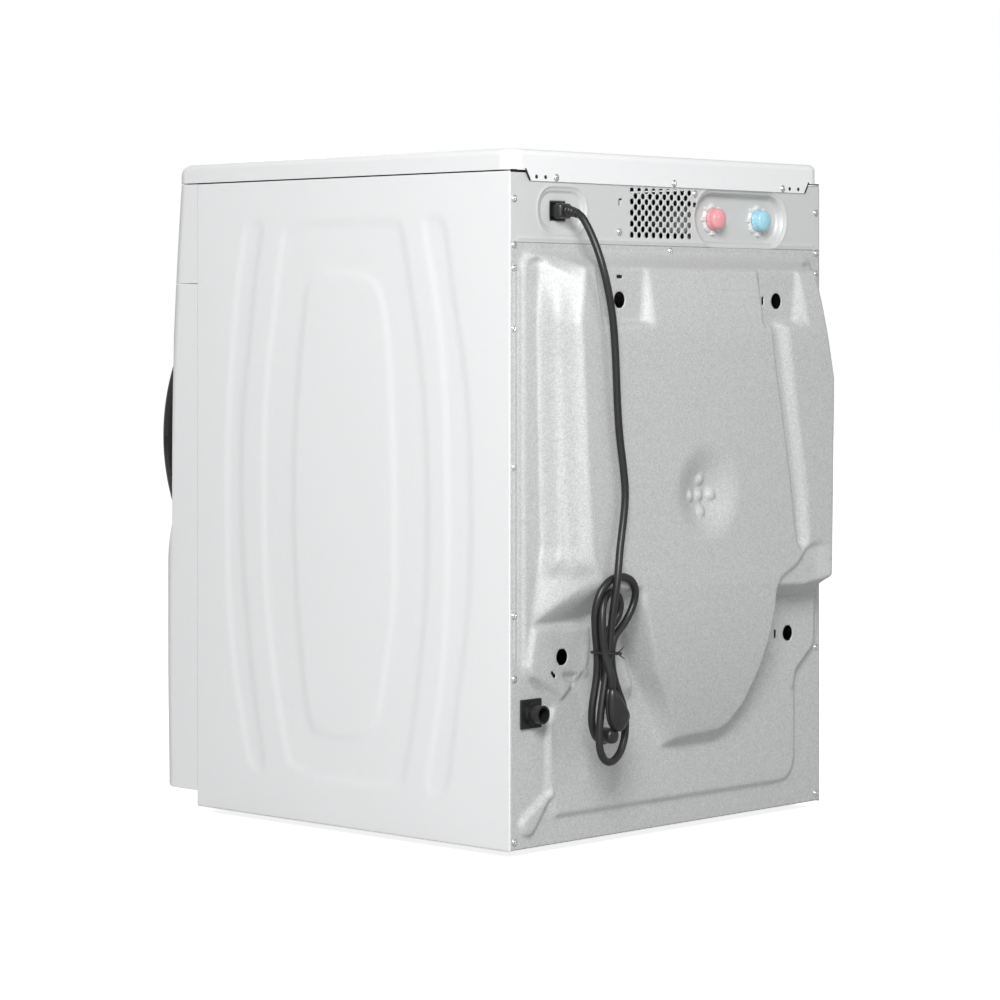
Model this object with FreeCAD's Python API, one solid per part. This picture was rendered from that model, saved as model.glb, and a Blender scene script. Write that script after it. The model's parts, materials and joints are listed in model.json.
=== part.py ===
import FreeCAD, Part

import math
import os

from FreeCAD import Vector

# Ventless front-loading washer-dryer. Everything is drawn in a cabinet frame, in millimetres:
# x = 0 in the middle (+x is the right side seen from the front), y = 0 at the rear edge of the
# side panels (the front is at -y) and z = 0 at the underside of the cabinet. save() moves each
# piece to the stored frame, whose origin is on the floor under the middle of the machine.

# ---- driving dimensions -------------------------------------------------------------------
HALF = 297.5  # half the cabinet's width
DEPTH = 560.0  # side panels, front to rear
SIDE_LOW, SIDE_HIGH = 3.0, 813.0
TOP_LOW, TOP_HIGH = 814.5, 840.0
SHEET = 1.2  # steel sheet
SIDE_PRESS = 3.5  # depth of the side panels' pressings
SKIN = 3.0  # moulded front skin
FLANGE = 18.0
FOOT_DROP = 5.0  # the feet, screwed right in, reach this far below the cabinet
REAR_SHIFT = 311.0  # stored-frame y of the side panels' rear edge

SPLIT_Z = 683.0  # joint between front panel and control panel
FRONT_LOW = 23.0
FACE_Y = -609.6  # floor of the shallow dish round the door
DISH_R, DISH_RIM_R, DISH_RIM_Y = 318.0, 340.0, -631.0
DOOR_Z = 482.0  # height of the door's centre
DOOR_R = 256.0
PORTHOLE_R = 192.0
HINGE_X, HINGE_Y = -268.0, -655.0  # vertical hinge axis

TUB_Z = 450.0  # height of the drum's axis
TUB_R, TUB_WALL = 251.0, 5.0
TUB_FRONT, TUB_SPLIT, TUB_BACK = -546.0, -298.0, -60.0
TUB_NECK_R, TUB_FLANGE_R = 178.0, 262.0
DRUM_R, DRUM_FRONT, DRUM_BACK = 235.0, -520.0, -112.0
DRUM_SHEET, DRUM_MOUTH_R = 1.5, 168.0
SHAFT_R, SHAFT_END_R, FIT = 14.95, 12.45, 0.05
PULLEY_R, BELT_FRONT, BELT_BACK = 140.0, -16.0, -2.0
MOTOR_X, MOTOR_Z, MOTOR_R, MOTOR_PULLEY_R = -30.0, 128.0, 56.0, 11.0

SEAM_Z = 728.0  # joint between the two rear panels
PAN_H = 5.0  # height of the wide low pressing
BULGE_H = 58.0  # height of the main pressing
KEEL_H = 22.0  # height of the main pressing at its lower end
SEAT_TOP_H = 47.0
BLOCK_ROOT_Y = -20.0  # the pressings' outlines are stated at this depth, inside the cabinet
BOLT_R = 10.0
UPPER_BOLT_X, UPPER_BOLT_Z = 151.0, 660.0
LOWER_BOLT_X, LOWER_BOLT_Z = 217.0, 230.0
VALVE_X, VALVE_Z, VALVE_FLOOR = (-89.5, -180.5), 764.5, -14.2
INLET_X, INLET_Z = 209.0, 767.0
DRAIN_X, DRAIN_Z = 262.0, 165.0

KNOB_X, CONTROL_Z, KNOB_R = -10.0, 774.0, 26.0
BUTTONS = (("button_power", -80.0), ("button_start", 232.0))
BUTTON_R, BUTTON_GAP = 14.0, 0.4
DRAWER_LOW, DRAWER_HIGH = Vector(-279.4, 0, 710.6), Vector(-120.6, 0, 799.4)
FLAP_LOW, FLAP_HIGH = Vector(145, 0, 60), Vector(235, 0, 125)
FLAP_GAP = 1.0
FLAP_PIN_Y, FLAP_PIN_Z, FLAP_PIN_R, FLAP_PIN_REACH = -627.8, 61.5, 1.0, 3.0
PUMP_X, PUMP_Z = 190.0, 92.0
FAN_X, FAN_Y = 65.0, -150.0

SPRING_X, SPRING_Y, SPRING_LOW, SPRING_HIGH = 185.0, -322.0, 652.0, 770.0
DAMPER_X, DAMPER_Y = 150.0, -400.0
FOOT_SPOTS = [(x, y) for x in (-235.0, 235.0) for y in (-500.0, -62.0)]

CORD_R = 4.6
# Free run of the mains cord, from the connector's sleeve to the top of the tied hank.
CORD_ROUTE = [
    Vector(209, 20, 767.5),
    Vector(209, 33, 763),
    Vector(208, 44, 748),
    Vector(207, 56, 726),
    Vector(205.5, 66, 700),
    Vector(199, 70, 668),
    Vector(191, 70, 635),
    Vector(185.5, 69, 590),
    Vector(182, 68, 542),
    Vector(177, 67, 498),
    Vector(169.5, 67, 459),
    Vector(165, 67, 425),
    Vector(170, 67, 391),
    Vector(179, 67, 361),
    Vector(185, 66, 332),
    Vector(188, 65, 312),
]
HANK_FRONT_Y, HANK_BACK_Y = 47.0, 76.0


# ---- small tools --------------------------------------------------------------------------
def box(x0, x1, y0, y1, z0, z1):
    return Part.makeBox(x1 - x0, y1 - y0, z1 - z0, Vector(x0, y0, z0))


def rod(axis, a, b, start, end, radius):
    """A cylinder along x, y or z; a and b are the two other coordinates in order."""
    places = {"x": Vector(start, a, b), "y": Vector(a, start, b), "z": Vector(a, b, start)}
    ways = {"x": Vector(1, 0, 0), "y": Vector(0, 1, 0), "z": Vector(0, 0, 1)}
    return Part.makeCylinder(radius, end - start, places[axis], ways[axis])


def polygon(points):
    return Part.Face(Part.makePolygon(list(points) + [points[0]]))


def plate_y(points, y0, y1):
    """A flat outline of (x, z) points, drawn out from y0 to y1."""
    return polygon([Vector(x, y0, z) for x, z in points]).extrude(Vector(0, y1 - y0, 0))


def plate_x(points, x0, x1):
    """A flat outline of (y, z) points, drawn out from x0 to x1."""
    return polygon([Vector(x0, y, z) for y, z in points]).extrude(Vector(x1 - x0, 0, 0))


def turned(points, x, z):
    """A ring of (radius, y) points turned about the y-wise line through (x, z)."""
    face = polygon([Vector(x + r, y, z) for r, y in points])
    return face.revolve(Vector(x, 0, z), Vector(0, 1, 0), 360)


def slot_y(x0, x1, z0, z1, radius, y0, y1):
    """A rounded rectangle in the x-z plane, drawn out from y0 to y1."""
    block = box(x0, x1, y0, y1, z0, z1)
    return rounded(block, radius, lambda c, e: abs(e.tangentAt(e.FirstParameter).y) > 0.9)


def rounded(shape, radius, wanted):
    """Rounds the edges for which wanted(centre, edge) holds."""
    edges = [e for e in shape.Edges if wanted(e.CenterOfMass, e)]
    return shape.makeFillet(radius, edges)


def joined(shapes):
    whole = shapes[0].multiFuse(shapes[1:])
    return whole.removeSplitter()


def mirrored(shape):
    return shape.mirror(Vector(0, 0, 0), Vector(1, 0, 0))


def group(shapes):
    return Part.makeCompound(shapes)


def faceted(base, top):
    """A closed block between two flat outlines with the same number of corners."""
    faces = [polygon(base), polygon(top)]
    for i in range(len(base)):
        j = (i + 1) % len(base)
        faces.append(polygon([base[i], base[j], top[j]]))
        faces.append(polygon([base[i], top[j], top[i]]))
    solid = Part.makeSolid(Part.makeShell(faces))
    if solid.Volume < 0:
        solid.reverse()
    return solid


def drawn_in(points, gap):
    """A closed outline of flat points with every side moved inwards by gap."""
    area = sum(x0 * z1 - x1 * z0 for (x0, z0), (x1, z1) in zip(points, points[1:] + points[:1]))
    turn = math.copysign(1, area)
    moved = []
    for before, at, after in zip(points[-1:] + points[:-1], points, points[1:] + points[:1]):
        into, out = (Vector(b[0] - a[0], 0, b[1] - a[1]).normalize() for a, b in ((before, at), (at, after)))
        inward = Vector(-into.z - out.z, 0, into.x + out.x) * turn
        reach = gap / (1 + into.dot(out))
        moved.append((at[0] + inward.x * reach, at[1] + inward.z * reach))
    return moved


def turn_between(before, corner, after):
    return (corner - before).getAngle(after - corner)


def bend_radius(before, corner, after):
    """The largest arc that the two runs at a corner allow."""
    shorter = min((corner - before).Length, (after - corner).Length)
    return 0.45 * shorter / math.tan(turn_between(before, corner, after) / 2)


def rounded_path(points):
    """Straight runs joined by tangent arcs, as one wire."""
    edges = []
    start = points[0]
    for before, corner, after in zip(points, points[1:], points[2:]):
        radius = bend_radius(before, corner, after)
        reach = radius * math.tan(turn_between(before, corner, after) / 2)
        into = (corner - before).normalize()
        out = (after - corner).normalize()
        first = corner - into * reach
        last = corner + out * reach
        inward = (out - into).normalize()
        centre_far = math.hypot(radius, reach)
        middle = corner + inward * (centre_far - radius)
        edges.append(Part.LineSegment(start, first).toShape())
        edges.append(Part.Arc(first, middle, last).toShape())
        start = last
    edges.append(Part.LineSegment(start, points[-1]).toShape())
    return Part.Wire(edges)


def tube(points, radius):
    path = rounded_path(points)
    section = Part.Wire(Part.makeCircle(radius, points[0], points[1] - points[0]))
    return path.makePipeShell([section], True, False), path.Length


# ---- cabinet ------------------------------------------------------------------------------
# Outlines of the side panel's pressings as (y, z) points.
BARREL = [
    (-385, 57), (-415, 170), (-437, 350), (-437, 500), (-415, 660), (-392, 765), (-185, 765), (-165, 690),
    (-138, 540), (-132, 380), (-145, 220), (-177, 57),
]
BARREL_ISLAND = [
    (-325, 121), (-350, 160), (-368, 300), (-370, 480), (-352, 640), (-340, 692), (-235, 692), (-215, 640),
    (-201, 460), (-201, 310), (-215, 200), (-235, 121),
]
FRONT_GROOVE = [
    (-460, 57), (-490, 170), (-507, 350), (-507, 480), (-493, 640), (-470, 765), (-427, 765), (-445, 680),
    (-468, 520), (-469, 370), (-458, 250), (-425, 65),
]
REAR_GROOVE = [
    (-146, 57), (-120, 190), (-109, 350), (-111, 480), (-122, 630), (-142, 765), (-106, 765), (-85, 650),
    (-62, 500), (-59, 370), (-70, 235), (-100, 57),
]


def pressed_in(panel, outline, island=None):
    """Sinks an area of the side sheet, all but its island, by SIDE_PRESS."""
    floor = HALF - SIDE_PRESS
    panel = panel.fuse(plate_x(drawn_in(outline, -SHEET), floor - SHEET, HALF - SHEET / 2))
    pocket = plate_x(outline, floor, HALF + 1)
    if island:
        pocket = pocket.cut(plate_x(island, floor - 1, HALF + 2))
        panel = panel.cut(plate_x(drawn_in(island, SHEET), floor - 2 * SHEET, HALF - SHEET))
    return panel.cut(pocket)


def side_panel():
    inner = HALF - FLANGE
    body = box(inner, HALF, -DEPTH, 0, SIDE_LOW, SIDE_HIGH)
    hollow = box(
        inner - 1, HALF - SHEET, -DEPTH + SHEET, -2 * SHEET, SIDE_LOW + SHEET, SIDE_HIGH - SHEET
    )
    joggle = box(inner - 1, HALF - SHEET, -SHEET, 1, 0, SIDE_HIGH + 1)
    panel = body.cut(hollow).cut(joggle)
    panel = pressed_in(panel, BARREL, BARREL_ISLAND)
    for groove in (FRONT_GROOVE, REAR_GROOVE):
        panel = pressed_in(panel, groove)
    return panel.removeSplitter()


def base_frame():
    rail, plate, top = 84.0, 2.0, 30.0
    half, front, back = HALF - SHEET, -DEPTH + SHEET, -2 * SHEET
    low = SIDE_LOW + SHEET
    outer = box(-half, half, front, back, low, top)
    under = box(-half + plate, half - plate, front + plate, back - plate, 0, top - plate)
    frame = outer.cut(under)
    for y0, y1 in ((front + rail, DAMPER_Y - 40), (DAMPER_Y + 40, back - rail)):
        lip = box(-half + rail - plate, half - rail + plate, y0 - plate, y1 + plate, low, top - plate)
        frame = frame.fuse(lip).cut(box(-half + rail, half - rail, y0, y1, 0, top + 1))
    for x, y in FOOT_SPOTS:
        frame = frame.cut(rod("z", x, y, top - 3, top + 1, 5.0))
    return frame


def levelling_feet():
    feet = []
    for x, y in FOOT_SPOTS:
        pad = rod("z", x, y, -FOOT_DROP, -0.5, 20)
        pad = rounded(pad, 1.5, lambda c, e: c.z > -1)
        stud = rod("z", x, y, -0.5, 51, 5.0)
        nut = hex_prism(x, y, 20, 28, 8.5)
        feet.append(joined([pad, stud, nut]))
    return group(feet)


def hex_prism(x, y, z0, z1, across_half):
    reach = across_half / math.cos(math.radians(30))
    corners = [
        Vector(x + reach * math.cos(math.radians(60 * k)), y + reach * math.sin(math.radians(60 * k)), z0)
        for k in range(6)
    ]
    return polygon(corners).extrude(Vector(0, 0, z1 - z0))


def top_crossbar():
    half = HALF - SHEET
    bar = box(-half, half, SPRING_Y - 16, SPRING_Y + 16, SPRING_HIGH, SPRING_HIGH + 22)
    return bar.cut(box(-half - 1, half + 1, SPRING_Y - 14, SPRING_Y + 14, SPRING_HIGH + 2, SPRING_HIGH + 30))


def cover_nose(front, back, inset):
    """A bar with the cover's rounded front in side view, drawn in by inset."""
    high = TOP_HIGH - inset
    nose = Part.Arc(
        Vector(-HALF, front + inset, TOP_LOW + 1),
        Vector(-HALF, front + 15 + 0.7 * inset, high - 8),
        Vector(-HALF, front + 52, high),
    )
    corners = [nose.EndPoint, Vector(-HALF, back, high), Vector(-HALF, back, TOP_LOW - 15)]
    corners += [Vector(-HALF, front + inset, TOP_LOW - 15), nose.StartPoint]
    lines = [Part.LineSegment(a, b).toShape() for a, b in zip(corners, corners[1:])]
    return Part.Face(Part.Wire([nose.toShape()] + lines)).extrude(Vector(2 * HALF, 0, 0))


def top_cover():
    front, back = -603.0, 2.0
    body = box(-HALF, HALF, front, back, TOP_LOW, TOP_HIGH)
    body = rounded(body, 20, lambda c, e: abs(c.z - (TOP_LOW + TOP_HIGH) / 2) < 0.1)
    body = rounded(body, 8, lambda c, e: c.z > TOP_HIGH - 0.1)
    hollow = box(-HALF + 3, HALF - 3, front + 3, back - 2, TOP_LOW - 1, TOP_HIGH - 3)
    hollow = rounded(hollow, 17, lambda c, e: abs(c.z - (TOP_LOW + TOP_HIGH - 4) / 2) < 0.1)
    body = body.common(cover_nose(front, back, 0))
    hollow = hollow.common(cover_nose(front, back, 3))
    skirt = plate_y([(-270, 815), (-262, 802), (262, 802), (270, 815)], 0, back)
    cover = joined([body.cut(hollow), skirt])
    for x in (253, 237, -232, -250):
        cover = cover.cut(rod("y", x, 807, -1, 3, 1.6))
    return cover


def rear_top_panel():
    edge = HALF - SHEET
    plate = box(-edge, edge, -SHEET, 0, SEAM_Z, SIDE_HIGH - SHEET)
    depth = 4.0
    power = ((166, 243, 745, 791), 21.0, depth)
    valves = ((-222, -48, 734, 797), 31.0, -VALVE_FLOOR - SHEET)
    for (x0, x1, z0, z1), radius, deep in (power, valves):
        tray = slot_y(x0, x1, z0, z1, radius, -deep - SHEET, 0)
        hollow = slot_y(x0 + SHEET, x1 - SHEET, z0 + SHEET, z1 - SHEET, radius - SHEET, -deep, 1)
        plate = plate.fuse(tray).cut(hollow)
    plate = plate.cut(box(INLET_X - 14, INLET_X + 14, -9, 1, INLET_Z - 12, INLET_Z + 12))
    for x in VALVE_X:
        plate = plate.cut(rod("y", x, VALVE_Z, VALVE_FLOOR - 1, VALVE_FLOOR + 5, 11.0))
    holes = []
    for row in range(9):
        shift = 0.0 if row % 2 == 0 else 6.85
        for column in range(9 if row % 2 == 0 else 8):
            x = 77 - shift - column * 13.7
            holes.append(rod("y", x, 741 + row * 6.85, -3, 1, 3.2))
    plate = plate.cut(group(holes))
    return plate.cut(box(-46, -40, -3, 1, 778, 784))


def sloped(points, z_high, y_high, z_low, y_low, lift):
    """Lays (x, z) points on a plane whose y changes evenly with z."""
    rate = (y_low - y_high) / (z_low - z_high)
    return [Vector(x, y_high + (z - z_high) * rate + lift, z) for x, z in points]


def bulge_blocks(wall):
    """The raised pressings as solid blocks; wall draws them in to give the sheet's inner face."""

    def level(points, height):
        return [Vector(x, height, z) for x, z in drawn_in(points, wall)]

    def slanted(points, z_high, y_high, z_low, y_low):
        return sloped(drawn_in(points, wall), z_high, y_high, z_low, y_low, -wall)

    pan = [
        (277, 716), (-277, 716), (-283, 214), (-241, 178), (-241, 60), (-206, 38),
        (206, 38), (232, 62), (232, 185), (277, 232),
    ]
    blocks = [faceted(level(pan, BLOCK_ROOT_Y), level(drawn_in(pan, 4), PAN_H - wall))]
    ramp_base = [(258, 714), (-258, 714), (-266, 632), (258, 632)]
    ramp_top = [(218, 700), (-228, 700), (-240, 632), (228, 632)]
    ramp_lid = slanted(ramp_top, 700, SEAT_TOP_H, 632, BULGE_H)
    blocks.append(faceted(level(ramp_base, BLOCK_ROOT_Y), ramp_lid))
    main_base = [(258, 632), (-266, 632), (-278, 560), (-276, 300), (-262, 274), (150, 276), (262, 271), (258, 320)]
    main_top = [(228, 632), (-240, 632), (-257, 560), (-252, 305), (-200, 296), (150, 312), (200, 318), (218, 350)]
    blocks.append(faceted(level(main_base, BLOCK_ROOT_Y), level(main_top, BULGE_H - wall)))
    keel_base = [(146, 320), (-204, 320), (-180, 210), (-150, 135), (-118, 100), (38, 100), (96, 200)]
    keel_top = [(124, 320), (-188, 320), (-162, 210), (-128, 150), (-105, 116), (20, 116), (77, 200)]
    keel_lid = slanted(keel_top, 320, BULGE_H, 116, KEEL_H)
    blocks.append(faceted(level(keel_base, BLOCK_ROOT_Y), keel_lid))
    if wall:
        # The hollows run on into each other where two blocks meet.
        blocks.append(box(-225, 205, BLOCK_ROOT_Y, BULGE_H - 4, 625, 640))
        blocks.append(box(-180, 84, BLOCK_ROOT_Y, BULGE_H - 4, 305, 330))
    return blocks


def bulge_pockets(wall):
    """What is pressed back into the raised blocks: seats for the transit bolts and the dish."""
    floor = SEAT_TOP_H - wall
    pockets = []
    for x in (UPPER_BOLT_X, -UPPER_BOLT_X):
        pockets.append(box(x - 42 - wall, x + 42 + wall, floor, floor + 40, 632 - wall, 704))
    dish_floor = BULGE_H - 8 - wall
    pockets.append(Part.makeCone(50 + wall, 66 + wall, 9, Vector(0, dish_floor, 422), Vector(0, 1, 0)))
    return pockets


def rear_panel():
    edge, low, high = HALF - SHEET, SIDE_LOW + SHEET, SEAM_Z - 0.3
    wall = 1.5
    outer = joined([box(-edge, edge, BLOCK_ROOT_Y, 0, low, high)] + bulge_blocks(0))
    inner = joined(bulge_blocks(wall))
    for pocket in bulge_pockets(0):
        outer = outer.cut(pocket)
    for pocket in bulge_pockets(wall):
        inner = inner.cut(pocket)
    panel = outer.cut(inner).cut(box(-edge - 2, edge + 2, BLOCK_ROOT_Y - 1, -SHEET, 0, high + 2))
    cutters = [
        rod("y", x, z, -10, 80, BOLT_R)
        for x, z in (
            (UPPER_BOLT_X, UPPER_BOLT_Z),
            (-UPPER_BOLT_X, UPPER_BOLT_Z),
            (LOWER_BOLT_X, LOWER_BOLT_Z),
            (-LOWER_BOLT_X, LOWER_BOLT_Z),
        )
    ]
    cutters.append(box(145.5, 156.5, 30, 80, 686, 690))
    cutters.append(box(-125.5, -121.5, 30, 80, 654, 665))
    cutters.append(box(-193, -189, -10, 20, 225, 236))
    cutters.append(box(247, 278, -10, 10, 150, 180))
    return panel.cut(group(cutters)).removeSplitter()


def screw(x, z, y):
    """A pan-head screw lying along y, its head on the outside at y."""
    head = rounded(rod("y", x, z, y, y + 2.4, 4.0), 1.2, lambda c, e: c.y > y + 2.3)
    return joined([head, rod("y", x, z, y - 1.5, y, 1.8)])


def panel_screws():
    left = [780, 725, 697, 625, 460, 283, 208, 14]
    right = [777, 724, 697, 670, 460, 206, 14]
    spots = [(290.0, z, 0.0) for z in left] + [(-289.0, z, 0.0) for z in right]
    spots += [(218.0, 807.0, 2.0), (0.0, 807.0, 2.0), (-217.0, 807.0, 2.0), (5.0, 722.0, 0.0)]
    return group([screw(x, z, y) for x, z, y in spots])


def bored_for_screws(shape):
    """Clears the screws' shanks out of a panel or flange."""
    return shape.cut(group([s for s in panel_screws().Solids]))


def front_block(inset, low, high):
    """The front's outer form, or the same drawn in by inset, between two heights."""
    half = HALF - inset
    bottom = max(low, FRONT_LOW + inset)
    rear = -DEPTH
    curve = Part.Arc(
        Vector(-half, -628.8 + inset, 48), Vector(-half, -631.5 + inset, 230), Vector(-half, -604.2 + inset, 813)
    )
    start = Vector(-half, -628.8 + inset, 48)
    end = Vector(-half, -604.2 + inset, 813)
    corners = [end, Vector(-half, rear, 813), Vector(-half, rear, FRONT_LOW + inset)]
    corners.append(Vector(-half, -628.8 + inset, FRONT_LOW + inset))
    lines = [Part.LineSegment(a, b).toShape() for a, b in zip(corners, corners[1:] + [start])]
    profile = Part.Face(Part.Wire([curve.toShape()] + lines))
    block = profile.extrude(Vector(2 * half, 0, 0))
    block = rounded(
        block,
        22 - inset,
        lambda c, e: (abs(abs(c.x) - half) < 0.1 and c.y < -600 and e.Length > 300)
        or (abs(c.x) < 1 and abs(c.z - FRONT_LOW - inset) < 0.1 and c.y < -620),
    )
    return block.common(box(-half - 1, half + 1, -700, 0, bottom, high))


def dish(inset):
    """The shallow dish pressed into the front round the door."""
    return turned(
        [
            (0, FACE_Y + inset), (DISH_R + inset, FACE_Y + inset), (DISH_RIM_R + inset, DISH_RIM_Y + inset),
            (DISH_RIM_R + inset, -660), (0, -660),
        ],
        0,
        DOOR_Z,
    )


def front_skin(low, high):
    outer = front_block(0, low, high).cut(dish(0))
    inner = front_block(SKIN, low - 50, high + 50).cut(dish(SKIN))
    inner = inner.fuse(box(-HALF + SKIN, HALF - SKIN, -DEPTH - 1, 0, low - 50, high + 50))
    return outer.cut(inner)


def front_panel():
    skin = front_skin(FRONT_LOW, SPLIT_Z)
    skin = skin.cut(rod("y", 0, DOOR_Z, -640, -DEPTH, PORTHOLE_R))
    skin = skin.cut(box(196, 221, -640, -590, DOOR_Z - 12, DOOR_Z + 12))
    gap = FLAP_GAP
    skin = skin.cut(
        box(FLAP_LOW.x - gap, FLAP_HIGH.x + gap, -640, -590, FLAP_LOW.z - gap, FLAP_HIGH.z + gap)
    )
    return skin.cut(flap_pins(FIT))


def flap_pins(grow):
    """The filter door's two hinge pins, or their bores when grown."""
    start, end = FLAP_LOW.x - FLAP_PIN_REACH - grow, FLAP_HIGH.x + FLAP_PIN_REACH + grow
    return rod("x", FLAP_PIN_Y, FLAP_PIN_Z, start, end, FLAP_PIN_R + grow)


def filter_door():
    skin = front_skin(FRONT_LOW, SPLIT_Z)
    flap = skin.common(box(FLAP_LOW.x, FLAP_HIGH.x, -640, -590, FLAP_LOW.z, FLAP_HIGH.z))
    return flap.fuse(flap_pins(0))


def drawer_window(gap):
    return box(
        DRAWER_LOW.x - gap, DRAWER_HIGH.x + gap, -640, -590, DRAWER_LOW.z - gap, DRAWER_HIGH.z + gap
    )


def display_window_block():
    return slot_y(45, 195, 752, 796, 6, -640, -595)


def control_panel():
    panel = front_skin(SPLIT_Z + 1, SIDE_HIGH)
    panel = panel.cut(drawer_window(0.6)).cut(display_window_block())
    panel = panel.cut(rod("y", KNOB_X, CONTROL_Z, -640, -590, 4.0 + FIT))
    for _, x in BUTTONS:
        panel = panel.cut(rod("y", x, CONTROL_Z, -640, -590, BUTTON_R + BUTTON_GAP))
    return panel


def display_window():
    return front_skin(SPLIT_Z + 1, SIDE_HIGH).common(display_window_block())


def program_knob():
    profile = [
        (0, -634), (20, -634), (23, -632.5), (KNOB_R, -613), (KNOB_R, -610.5), (4, -610.5), (4, -594), (0, -594),
    ]
    return turned(profile, KNOB_X, CONTROL_Z)


def button(x):
    cap = rod("y", x, CONTROL_Z, -611.5, -604, BUTTON_R)
    cap = rounded(cap, 1.5, lambda c, e: c.y < -611.4)
    return joined([cap, rod("y", x, CONTROL_Z, -604, -592.5, 5)])


def control_board():
    board = box(-110, 262, -590, -586, 748, 800)
    chips = [
        box(-60, -20, -586, -572, 755, 775),
        box(60, 100, -586, -566, 760, 790),
        box(130, 150, -586, -570, 755, 785),
        box(190, 215, -586, -574, 758, 790),
    ]
    posts = [rod("y", x, z, -600, -590, 4) for x in (-104, 256) for z in (754, 794)]
    return joined([board] + chips + posts)


def drawer_housing():
    x0, x1, z0, z1 = -278.8, -113.0, 705.0, 806.0
    shell = box(x0, x1, -598, -345, z0, z1)
    return shell.cut(box(x0 + 2.5, x1 - 2.5, -599, -347.5, z0 + 2.5, z1 - 2.5))


def detergent_drawer():
    front = front_skin(SPLIT_Z + 1, SIDE_HIGH).common(drawer_window(0))
    tray = box(-273.5, -123, -606, -365, 712, 788)
    wells = [
        box(-271, -222, -590, -368, 714.5, 790),
        box(-219.5, -177, -590, -368, 714.5, 790),
        box(-174.5, -125.5, -590, -368, 714.5, 790),
        box(-271, -125.5, -603.5, -592.5, 714.5, 790),
    ]
    for well in wells:
        tray = tray.cut(well)
    return joined([front, tray])


# ---- door ---------------------------------------------------------------------------------
def door_outer_ring():
    ring = turned(
        [
            (186, -662), (204, -673), (226, -680), (250, -679), (255, -676.5), (DOOR_R, -673),
            (254, -668), (247, -664), (245, -656), (237, -652), (235, -645), (228, -640), (196, -640),
            (196, -655), (186, -655),
        ],
        0,
        DOOR_Z,
    )
    return ring.cut(hinge_leaf_plate())


def door_window():
    return turned([(0, -672), (90, -670), (150, -666), (186, -660), (186, -657), (150, -663), (0, -669)], 0, DOOR_Z)


def door_inner_ring():
    ring = turned(
        [
            (149, -640), (228, -640), (224, -626), (214, -617), (176, -614), (160, -612), (149, -612),
        ],
        0,
        DOOR_Z,
    )
    ring = ring.cut(turned([(154, -641), (222, -641), (219, -629), (212, -621), (176, -618), (154, -618)], 0, DOOR_Z))
    return ring.cut(box(199, 211, -650, -600, DOOR_Z - 8, DOOR_Z + 8))


def door_glass():
    return turned(
        [
            (0, -505), (58, -506), (92, -511), (110, -522), (120, -545), (130, -585), (149, -612),
            (149, -640), (144, -640), (143, -613), (125, -587), (115, -547), (106, -527), (89, -516),
            (57, -511), (0, -510),
        ],
        0,
        DOOR_Z,
    )


def hinge_leaf_plate():
    return box(HINGE_X + 4, -205, HINGE_Y - 2.5, HINGE_Y + 2.5, DOOR_Z - 30, DOOR_Z + 30)


def door_hinge():
    knuckle = rod("z", HINGE_X, HINGE_Y, DOOR_Z - 30, DOOR_Z + 30, 7)
    leaf = joined([knuckle, hinge_leaf_plate()])
    return leaf.cut(rod("z", HINGE_X, HINGE_Y, DOOR_Z - 40, DOOR_Z + 40, 3.5 + FIT))


def hinge_bracket():
    base = box(HINGE_X - 14, HINGE_X + 16, FACE_Y - 4, FACE_Y, DOOR_Z - 52, DOOR_Z + 52)
    pieces = [base]
    for low in (DOOR_Z - 46, DOOR_Z + 30.5):
        pieces.append(rod("z", HINGE_X, HINGE_Y, low, low + 15.5, 7))
        pieces.append(box(HINGE_X - 7, HINGE_X + 5, HINGE_Y, FACE_Y - 4, low, low + 15.5))
    pieces.append(rod("z", HINGE_X, HINGE_Y, DOOR_Z - 46, DOOR_Z + 46, 3.5))
    return joined(pieces)


def door_hook():
    shank = box(200, 210, -640, -586, DOOR_Z - 5, DOOR_Z + 5)
    barb = box(196.5, 200, -594, -586, DOOR_Z - 5, DOOR_Z + 5)
    foot = box(199, 211, -640, -630, DOOR_Z - 8, DOOR_Z + 8)
    return joined([shank, barb, foot])


def door_lock():
    body = box(193, 246, FACE_Y + SKIN, -578, DOOR_Z - 34, DOOR_Z + 34)
    return body.cut(box(195.5, 223, -610, -581, DOOR_Z - 13, DOOR_Z + 13))


# ---- tub and drum -------------------------------------------------------------------------
def tub_inside():
    return rod("y", 0, TUB_Z, TUB_FRONT + TUB_WALL, TUB_BACK, TUB_R - TUB_WALL)


def tub_front():
    shell = turned(
        [
            (172, -562), (TUB_NECK_R, -562), (TUB_NECK_R, TUB_FRONT), (236, TUB_FRONT), (TUB_R, -531), (TUB_R, -304),
            (TUB_FLANGE_R, -304), (TUB_FLANGE_R, TUB_SPLIT), (246, TUB_SPLIT), (246, -528), (233, -541), (172, -541),
        ],
        0,
        TUB_Z,
    )
    lugs = [box(s * SPRING_X - 10, s * SPRING_X + 10, SPRING_Y - 10, SPRING_Y + 10, 600, SPRING_LOW) for s in (-1, 1)]
    lugs += [box(s * DAMPER_X - 12, s * DAMPER_X + 12, DAMPER_Y - 12, DAMPER_Y + 12, 232, 265) for s in (-1, 1)]
    shell = joined([shell] + [lug.cut(tub_inside()) for lug in lugs])
    return shell.cut(heater_seal())


def tub_rear():
    return turned(
        [
            (246, TUB_SPLIT), (TUB_FLANGE_R, TUB_SPLIT), (TUB_FLANGE_R, -291), (TUB_R, -291), (TUB_R, -72), (239, TUB_BACK),
            (58, TUB_BACK), (50, -24), (26, -24), (26, -41), (22, -41), (22, -72), (31, -72), (31, -90),
            (42, -90), (56, -66), (237, -66), (246, -76),
        ],
        0,
        TUB_Z,
    )


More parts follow.
